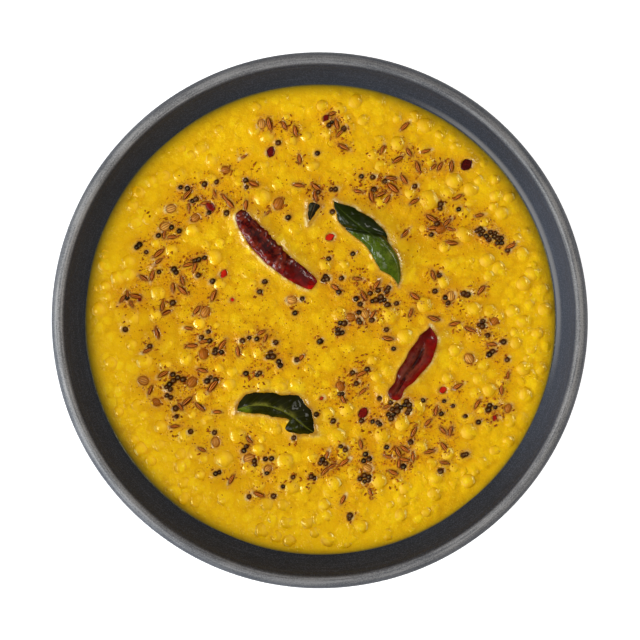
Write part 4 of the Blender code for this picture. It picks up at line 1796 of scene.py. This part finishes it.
    def _lay_map(self, mesh: Any, points: Array, top_corners: int, ring: int) -> None:
        """Lays the top flat in the middle of a map and the hidden rest in a corner of it.

        Args:
            mesh: the closed mesh.
            points: its vertices, the last of which is the middle of its underside.
            top_corners: how many of its face corners belong to the top, which come first.
            ring: how many vertices each ring of its side has.
        """
        corner_vertex = np.empty(len(mesh.loops), np.int32)
        mesh.loops.foreach_get("vertex_index", corner_vertex)
        centre = len(points) - 1
        where = points[corner_vertex, :2] / (2 * self.radius) * self.map_width + 0.5
        hidden = corner_vertex[top_corners:]
        level = np.where(hidden < self.cells**2, 0, (hidden - self.cells**2) // ring + 1)
        share = np.where(hidden == centre, 0.0, 1 - level / (len(self.below) + 1))
        away = points[hidden, :2]
        away = away / np.maximum(np.linalg.norm(away, axis=1, keepdims=True), 1e-9)
        where[top_corners:] = self.map_corner + away * share[:, None] * self.map_corner_reach
        layer = mesh.uv_layers.new(name="OFBake")
        layer.data.foreach_set("uv", where.ravel().astype(np.float32))


# Spice as geometry


@dataclass
class Batch:
    """The bits that are shown as one piece, with its name and slot, and their unevenness in millimetres."""

    name: str
    kind: Kind
    slot: str
    unevenness: float
    coat: SeedCoat | LentilSkin


def batches() -> list[Batch]:
    """The seven pieces of loose food, in the order in which they are made.

    Returns:
        The pieces.
    """
    browns = swatches((42, 20, 3), (86, 44, 8), (150, 134, 84))
    mustard = SeedCoat("mustard_coat", *browns, 0.7, 0.34, 0.4 * MM)
    cumin = SeedCoat("cumin_coat", *swatches((84, 24, 2), (136, 52, 6), (214, 128, 42)), 0.9, ribs=1.3)
    tans = swatches((176, 100, 20), (238, 176, 76), (150, 76, 10))
    coriander = SeedCoat("coriander_coat", *tans, 0.7, ribs=1.9)
    flake = SeedCoat("chilli_flake_skin", *swatches((56, 8, 6), (206, 34, 12)), roughness=0.22)
    crumb = SeedCoat("fried_crumb", *swatches((136, 62, 4), (196, 108, 10)), roughness=0.45)
    dust = SeedCoat("spice_powder", *swatches((166, 84, 3), (212, 130, 8)), roughness=0.5)
    return [
        Batch("soft_lentils", Kind.LENTIL, "dal", 1.0, LentilSkin()),
        Batch("mustard_seeds", Kind.MUSTARD, "spice", 0.10, mustard),
        Batch("cumin_seeds", Kind.CUMIN, "spice", 0.26, cumin),
        Batch("coriander_seeds", Kind.CORIANDER, "spice", 0.16, coriander),
        Batch("chilli_flakes", Kind.FLAKE, "chilli", 0.7, flake),
        Batch("fried_crumbs", Kind.CRUMB, "spice", 0.30, crumb),
        Batch("spice_dust", Kind.CRUMB, "spice", 0.10, dust),
    ]


@dataclass
class SpiceRack:
    """Makes one shape of each kind and lays copies of it where the tempering fell."""

    dal: Dal
    tempering: Tempering
    dust: int = 7200
    dust_tries: int = 14
    dust_reach: float = 70 * MM
    dust_seed: int = 5

    @staticmethod
    def strewing() -> Recipe:
        """Lays a shape on every point of a mesh, turned and sized by the point, and makes it uneven.

        Returns:
            The tree, with the shape and its unevenness as inputs.
        """
        r = Recipe("strewing")
        inputs = r.inputs(Shape="Object", Unevenness="Float", Lump_Size="Float", Material="Material")
        shape, uneven, lump, material = inputs
        source = r.node("GeometryNodeObjectInfo", {"Object": shape}, output="Geometry")
        turn = r.node("FunctionNodeEulerToRotation", {0: r.kept("turn")})
        sockets = {"Points": r.geometry, "Instance": source, "Rotation": turn, "Scale": r.kept("size")}
        strewn = r.node("GeometryNodeInstanceOnPoints", sockets)
        real = r.node("GeometryNodeRealizeInstances", {0: strewn})
        place = r.node("GeometryNodeInputPosition")
        centred = r.vector("SUBTRACT", r.noise(place, 1 / lump, 0.0, "Color"), (0.5, 0.5, 0.5))
        offset = r.vector("SCALE", centred, Scale=uneven)
        r.end(r.node("GeometryNodeSetPosition", {"Geometry": real, "Offset": offset}), material)
        return r

    @staticmethod
    def _shape(kind: Kind) -> Any:
        """Models one bit with half sizes of 1 on every axis, and keeps each vertex's place on it as its form.

        Args:
            kind: its kind.

        Returns:
            The mesh.
        """
        rings = {Kind.CUMIN: (10, 7), Kind.CORIANDER: (10, 7), Kind.FLAKE: (12, 6)}
        bm = bmesh.new()
        if kind in rings:
            around, high = rings[kind]
            bmesh.ops.create_uvsphere(bm, u_segments=around, v_segments=high, radius=1)
        else:
            bmesh.ops.create_icosphere(bm, subdivisions=1 if kind is Kind.CRUMB else 2, radius=1)
        bmesh.ops.rotate(bm, verts=bm.verts, matrix=Matrix.Rotation(math.pi / 2, 3, "Y"))
        forms = []
        for vertex in bm.verts:
            co = vertex.co
            waist = math.hypot(co.y, co.z)
            forms += (co.x, co.y / max(waist, 0.02), co.z)
            if kind is Kind.CUMIN:
                slim = (1 - abs(co.x) ** 1.5) ** 0.8 / max(waist, 1e-6) if waist > 1e-4 else 1.0
                co.y, co.z = co.y * slim, co.z * slim
                co.y += 0.22 * (1 - co.x**2) - 0.1
            elif kind is Kind.CORIANDER:
                co.x *= 1 + 0.08 * (co.x > 0.9)
            elif kind is Kind.FLAKE:
                co.x += 0.25 * math.sin(3 * co.y)
                co.z = co.z * 0.6 + 0.5 * co.x * co.x - 0.25
            elif kind is Kind.CRUMB:
                co.x *= 1 + 0.35 * math.sin(9 * co.y + 2)
        mesh = bpy.data.meshes.new(f"{kind.name.lower()}_shape")
        bm.to_mesh(mesh)
        bm.free()
        mesh.attributes.new("form", "FLOAT_VECTOR", "POINT").data.foreach_set("vector", forms)
        return mesh

    def _points(self, bits: list[Bit], name: str) -> Any:
        """Lays out a mesh of one point for each bit, holding its turn, size and shade.

        Args:
            bits: the bits.
            name: a name for the mesh.

        Returns:
            The mesh.
        """
        flat = np.array([(bit.x, bit.y) for bit in bits])
        ground = self.dal.resting(flat)["height"]
        lift = np.array([bit.kind.half_size[2] * bit.size * (1 - 2 * bit.kind.sunk) * MM for bit in bits])
        turn = np.array([(bit.roll, bit.roll * 0.4 + bit.lean, bit.turn) for bit in bits])
        size = np.array([np.array(bit.kind.half_size) * bit.size * MM for bit in bits])
        shade = np.array([bit.shade for bit in bits])
        points = np.column_stack((flat, ground + lift))
        return mesh_of(name, points, [], {"turn": turn, "size": size, "shade": shade})

    def _dust(self) -> list[Bit]:
        """Draws fine specks of spice, thick round the seeds and thin elsewhere.

        Returns:
            The specks.
        """
        draw = np.random.default_rng(self.dust_seed)
        tries = self.dust * self.dust_tries
        away = self.dust_reach * np.sqrt(draw.random(tries))
        angle = draw.uniform(0, math.tau, tries)
        spots = np.column_stack((away * np.cos(angle), away * np.sin(angle)))
        streaks = 0.5 + 0.5 * rough(spots, 9 * MM, 31.0)
        thick = 1 - np.exp(-0.45 * self.tempering.weight(spots, 2.8 * MM))
        middle = 0.07 * bell(np.hypot(spots[:, 0] + 8 * MM, spots[:, 1]), 46 * MM)
        chance = np.clip((thick + middle) * streaks**1.5, 0, 1)
        for outline in self.tempering.outlines:
            chance[inside_depth(spots, outline) > -0.1 * MM] = 0
        picked = spots[draw.random(tries) < chance][: self.dust]
        sizes = draw.uniform(0.24, 0.72, len(picked))
        turns = draw.uniform(0, math.pi, len(picked))
        shades = draw.random(len(picked))
        columns = zip(picked.tolist(), turns, sizes, shades)
        return [Bit(Kind.CRUMB, *spot, turn, size, shade) for spot, turn, size, shade in columns]

    def _lentils(self) -> list[Bit]:
        """Picks the lentils that stand proud of the gravy and lie clear of the garnish and seeds.

        Returns:
            A bit for each of them, with its painted highlight turned to the nearer lamp.
        """
        proud = [lentil for lentil in self.dal.lentils if lentil.proud]
        spots = np.array([(lentil.x, lentil.y) for lentil in proud])
        free = np.hypot(spots[:, 0], spots[:, 1]) < self.dal.radius - 4 * MM
        for outline in self.tempering.outlines:
            free &= inside_depth(spots, outline) < -1.5 * MM
        for bit in self.tempering.bits:
            if not bit.small:
                free &= np.hypot(spots[:, 0] - bit.x, spots[:, 1] - bit.y) > bit.reach * 0.6 + 1.3 * MM
        bits = []
        for lentil, clear in zip(proud, free):
            if clear:
                away_from_lamp = (lentil.turn - math.pi / 2) * 0.3
                turn = LAMP_TURN + (math.pi if lentil.x < 0 else 0.0) + away_from_lamp
                size = lentil.radius / (2.5 * MM)
                bits.append(Bit(Kind.LENTIL, lentil.x, lentil.y, turn, size, lentil.pale, lean=-0.05))
        return bits

    def build(self) -> None:
        """Strews every kind and shows each as one piece."""
        recipe = self.strewing()
        strewn = {"soft_lentils": self._lentils(), "spice_dust": self._dust()}
        for batch in batches():
            bits = [bit for bit in strewn.get(batch.name, self.tempering.bits) if bit.kind is batch.kind]
            shape = placed(f"{batch.name}_shape", self._shape(batch.kind))
            mesh = recipe.make(
                batch.name, self._points(bits, f"{batch.name}_points"), Shape=shape,
                Unevenness=batch.unevenness * MM, Material=batch.coat.material(),
                Lump_Size=(2.4 if batch.kind is Kind.LENTIL else 1.1) * MM,
            )
            bpy.data.objects.remove(shape)
            show(batch.name, mesh, batch.slot)


# Setting


@dataclass(frozen=True)
class Lamp:
    """A soft light: where it stands, how wide and tall it is in metres, its power in watts and its colour."""

    name: str
    place: Triple
    size: Pair
    power: float
    colour: Colour


@dataclass
class Studio:
    """A pale table, soft lights low on both sides, and a camera that looks straight down."""

    height: float
    lamps: tuple[Lamp, ...] = (
        Lamp("left_window", (-0.78, -0.32, 0.31), (1.00, 0.12), 7.2, (0.82, 0.91, 1.0)),
        Lamp("left_glint", (-0.55, -0.26, 0.71), (0.56, 0.24), 2.4, (1.0, 0.98, 0.95)),
        Lamp("right_glint", (0.55, 0.26, 0.71), (0.60, 0.24), 2.8, (1.0, 0.97, 0.92)),
    )
    horizon: Colour = (0.18, 0.18, 0.18)
    overhead: Colour = (0.29, 0.29, 0.29)
    distance: float = 1.0
    off_centre: Pair = (31 * MM, 26 * MM)
    aim: Pair = (0.44 * MM, 0.38 * MM)
    field_width: float = 216.7 * MM
    sensor: float = 36.0
    table_half: float = 3.0
    table_drop: float = 0.2 * MM

    def table(self) -> None:
        """Lays the table."""
        corners = np.array([(-1, -1, 0), (1, -1, 0), (1, 1, 0), (-1, 1, 0)]) * self.table_half
        mesh = mesh_of("table", corners - (0, 0, self.table_drop), [(0, 1, 2, 3)])
        mesh.materials.append(Tabletop().material())
        placed("table", mesh)

    def light(self, lamp: Lamp) -> None:
        """Adds a soft light that faces the bowl.

        Args:
            lamp: the light.
        """
        data = bpy.data.lights.new(lamp.name, "AREA")
        data.shape = "ELLIPSE"
        data.size, data.size_y = lamp.size
        data.energy = lamp.power
        data.color = lamp.colour
        stand = placed(lamp.name, data)
        stand.location = lamp.place
        aim = Vector((0, 0, self.height)) - Vector(lamp.place)
        stand.rotation_euler = aim.to_track_quat("-Z", "Y").to_euler()

    def sky(self) -> None:
        """Makes a plain surround that is dimmer low down."""
        world = bpy.data.worlds.new("surround")
        world.use_nodes = True
        bpy.context.scene.world = world
        graph = Graph(world.node_tree)
        _, _, height = graph.parts(graph.node("ShaderNodeTexCoord", output="Generated"))
        colour = graph.mix(self.horizon, self.overhead, graph.rise(height, 0.10, 0.30))
        graph.tree.links.new(colour.output, world.node_tree.nodes["Background"].inputs["Color"])

    def camera(self) -> None:
        """Sets the camera over the bowl, a little off its middle, and aims it at the rim's centre."""
        data = bpy.data.cameras.new("camera")
        data.sensor_width = self.sensor
        data.lens = self.sensor * self.distance / self.field_width
        camera = placed("camera", data)
        camera.location = (*self.off_centre, self.height + self.distance)
        back = (camera.location - Vector((*self.aim, self.height))).normalized()
        right = Vector((0, 1, 0)).cross(back).normalized()
        camera.rotation_euler = Matrix((right, back.cross(right), back)).transposed().to_euler()
        bpy.context.scene.camera = camera

    def build(self) -> None:
        """Sets up the table, the lights and the camera."""
        bpy.context.scene.view_settings.view_transform = "Standard"
        self.table()
        self.sky()
        for lamp in self.lamps:
            self.light(lamp)
        self.camera()


# The garnish of this bowl


def chillies() -> list[Chilli]:
    """The two fried chillies.

    Returns:
        The long maroon one and the short red one.
    """
    reds = swatches((92, 5, 2), (156, 11, 6), (128, 44, 20), (190, 14, 6))
    maroon = ChilliSkin("maroon_chilli", *reds, raisin=0.8)
    reds = swatches((84, 9, 4), (148, 12, 5), (112, 48, 30), (50, 10, 12))
    bright = ChilliSkin("red_chilli", *reds, raisin=0.0)
    long = Chilli(
        node="dried_chilli_long", length=37.0, bow=-2.5, peak=0.5, turn=-43.9,
        half_widths=((0, 2.5), (0.1, 3.1), (0.3, 3.9), (0.48, 3.9), (0.62, 3.7), (0.8, 3.4), (1, 2.9)),
        flatness=0.66, groove=0.10, groove_at=80, groove_span=(0.10, 0.60), groove_width=0.6,
        skin=maroon, red_side=250, tip_from=0.86, seed=3.0, knobs=0.45, wrinkle=0.10,
    )
    short = Chilli(
        node="dried_chilli_short", length=29.0, bow=-2.2, peak=0.72, turn=62.8,
        half_widths=((0, 2.4), (0.07, 2.9), (0.18, 2.2), (0.36, 3.6), (0.62, 4.2), (0.85, 3.5), (1, 0.4)),
        flatness=0.6, groove=0.6, groove_at=86, groove_span=(0.02, 0.82), groove_width=0.22,
        skin=bright, red_side=200, tip_from=2.0, seed=21.0, wrinkle=0.09,
    )
    return [long, short]


def leaves() -> list[Leaf]:
    """The two curry leaves and the scrap of one.

    Returns:
        The folded one, the crumpled one and the scrap.
    """
    greens = swatches((29, 38, 2), (74, 92, 6), (118, 116, 50), (64, 78, 16))
    folded_skin = LeafSkin("folded_leaf", *greens, gloss=0.30)
    greens = swatches((29, 29, 1), (88, 100, 6), (108, 104, 34), (116, 120, 36))
    crumpled_skin = LeafSkin("crumpled_leaf", *greens, gloss=0.15)
    greens = swatches((26, 23, 8), (58, 54, 16), (128, 72, 18), (120, 92, 40))
    scrap_skin = LeafSkin("leaf_scrap", *greens)

    def stalk_green(t: Array, v: Array) -> Array:
        """Green at the stalk and a little along the right side."""
        stalk = bell(t - 0.03, 0.12) * smoothstep((0.3 - v) / 0.5)
        return np.clip(stalk + smoothstep(-v / 0.5) * 0.22, 0, 1)

    def middle_sheen(t: Array, v: Array) -> Array:
        """A sheen along the midrib, between the stalk and the tip."""
        return bell(v - 0.08, 0.14) * smoothstep((t - 0.12) / 0.1) * smoothstep((0.72 - t) / 0.1) * 0.8

    folded = Leaf(
        node="curry_leaf_folded", length=35.7, bow=4.8, peak=0.7, turn=-53.2,
        left=((0, 0), (0.2, 3.1), (0.38, 4.0), (0.5, 3.5), (0.68, 1.0), (1, 0)),
        right=((0, 0), (0.22, 3.3), (0.42, 3.4), (0.72, 5.4), (0.82, 5.3), (1, 0)),
        ridge=2.9, seed=4.0, fold=(0.42, 0.20, 1.1), skin=folded_skin,
        green=lambda t, v: 0.15 * smoothstep(-v / 0.5) + 0.85 * smoothstep((t - 0.44 - 0.20 * v) / 0.08),
        sheen=lambda t, v: smoothstep((t - 0.55) / 0.15) * bell(v - 0.15, 0.3) * 0.8,
    )
    crumpled = Leaf(
        node="curry_leaf_crumpled", length=29.3, bow=4.6, peak=0.4, turn=-15.8,
        left=((0, 1.2), (0.15, 3.9), (0.42, 4.5), (0.6, 6.8), (0.75, 5.4), (1, 0)),
        right=((0, 1.0), (0.2, 2.7), (0.42, 3.0), (0.66, 1.0), (0.77, 3.9), (1, 0)),
        ridge=2.5, seed=14.0, barb=(0.76, 3.2), skin=crumpled_skin, green=stalk_green, sheen=middle_sheen,
    )
    scrap = Leaf(
        node="curry_leaf_scrap", length=7.9, bow=0.3, peak=0.5, turn=74.0,
        left=((0, 0), (0.6, 1.3), (1, 2.0)), right=((0, 0), (0.6, 1.2), (1, 1.9)),
        ridge=0.7, seed=24.0, steps=40, columns=17, thickness=0.3, skin=scrap_skin,
        green=lambda t, v: smoothstep(v / 0.5) * 0.6,
        sheen=lambda t, v: smoothstep((-v - 0.5) / 0.4) * 0.8,
    )
    return [folded, crumpled, scrap]


def main() -> None:
    """Builds the bowl, the garnish, the dal round it, the spice and the setting."""
    logging.basicConfig(level=logging.INFO, format="%(name)s: %(message)s")
    bowl = Bowl.from_frame()
    bowl.build()
    garnish = [Settled(chilli.build(), 0.95 * MM, 2.6 * MM) for chilli in chillies()]
    garnish += [Settled(leaf.build(), 0.55 * MM, 1.0 * MM) for leaf in leaves()]
    dal = Dal(bowl)
    tempering = Tempering(dal.radius - 3 * MM, [piece.outline for piece in garnish])
    tempering.strew()
    dal.build(tempering, garnish)
    SpiceRack(dal, tempering).build()
    Studio(bowl.height).build()


if __name__ == "__main__":
    main()
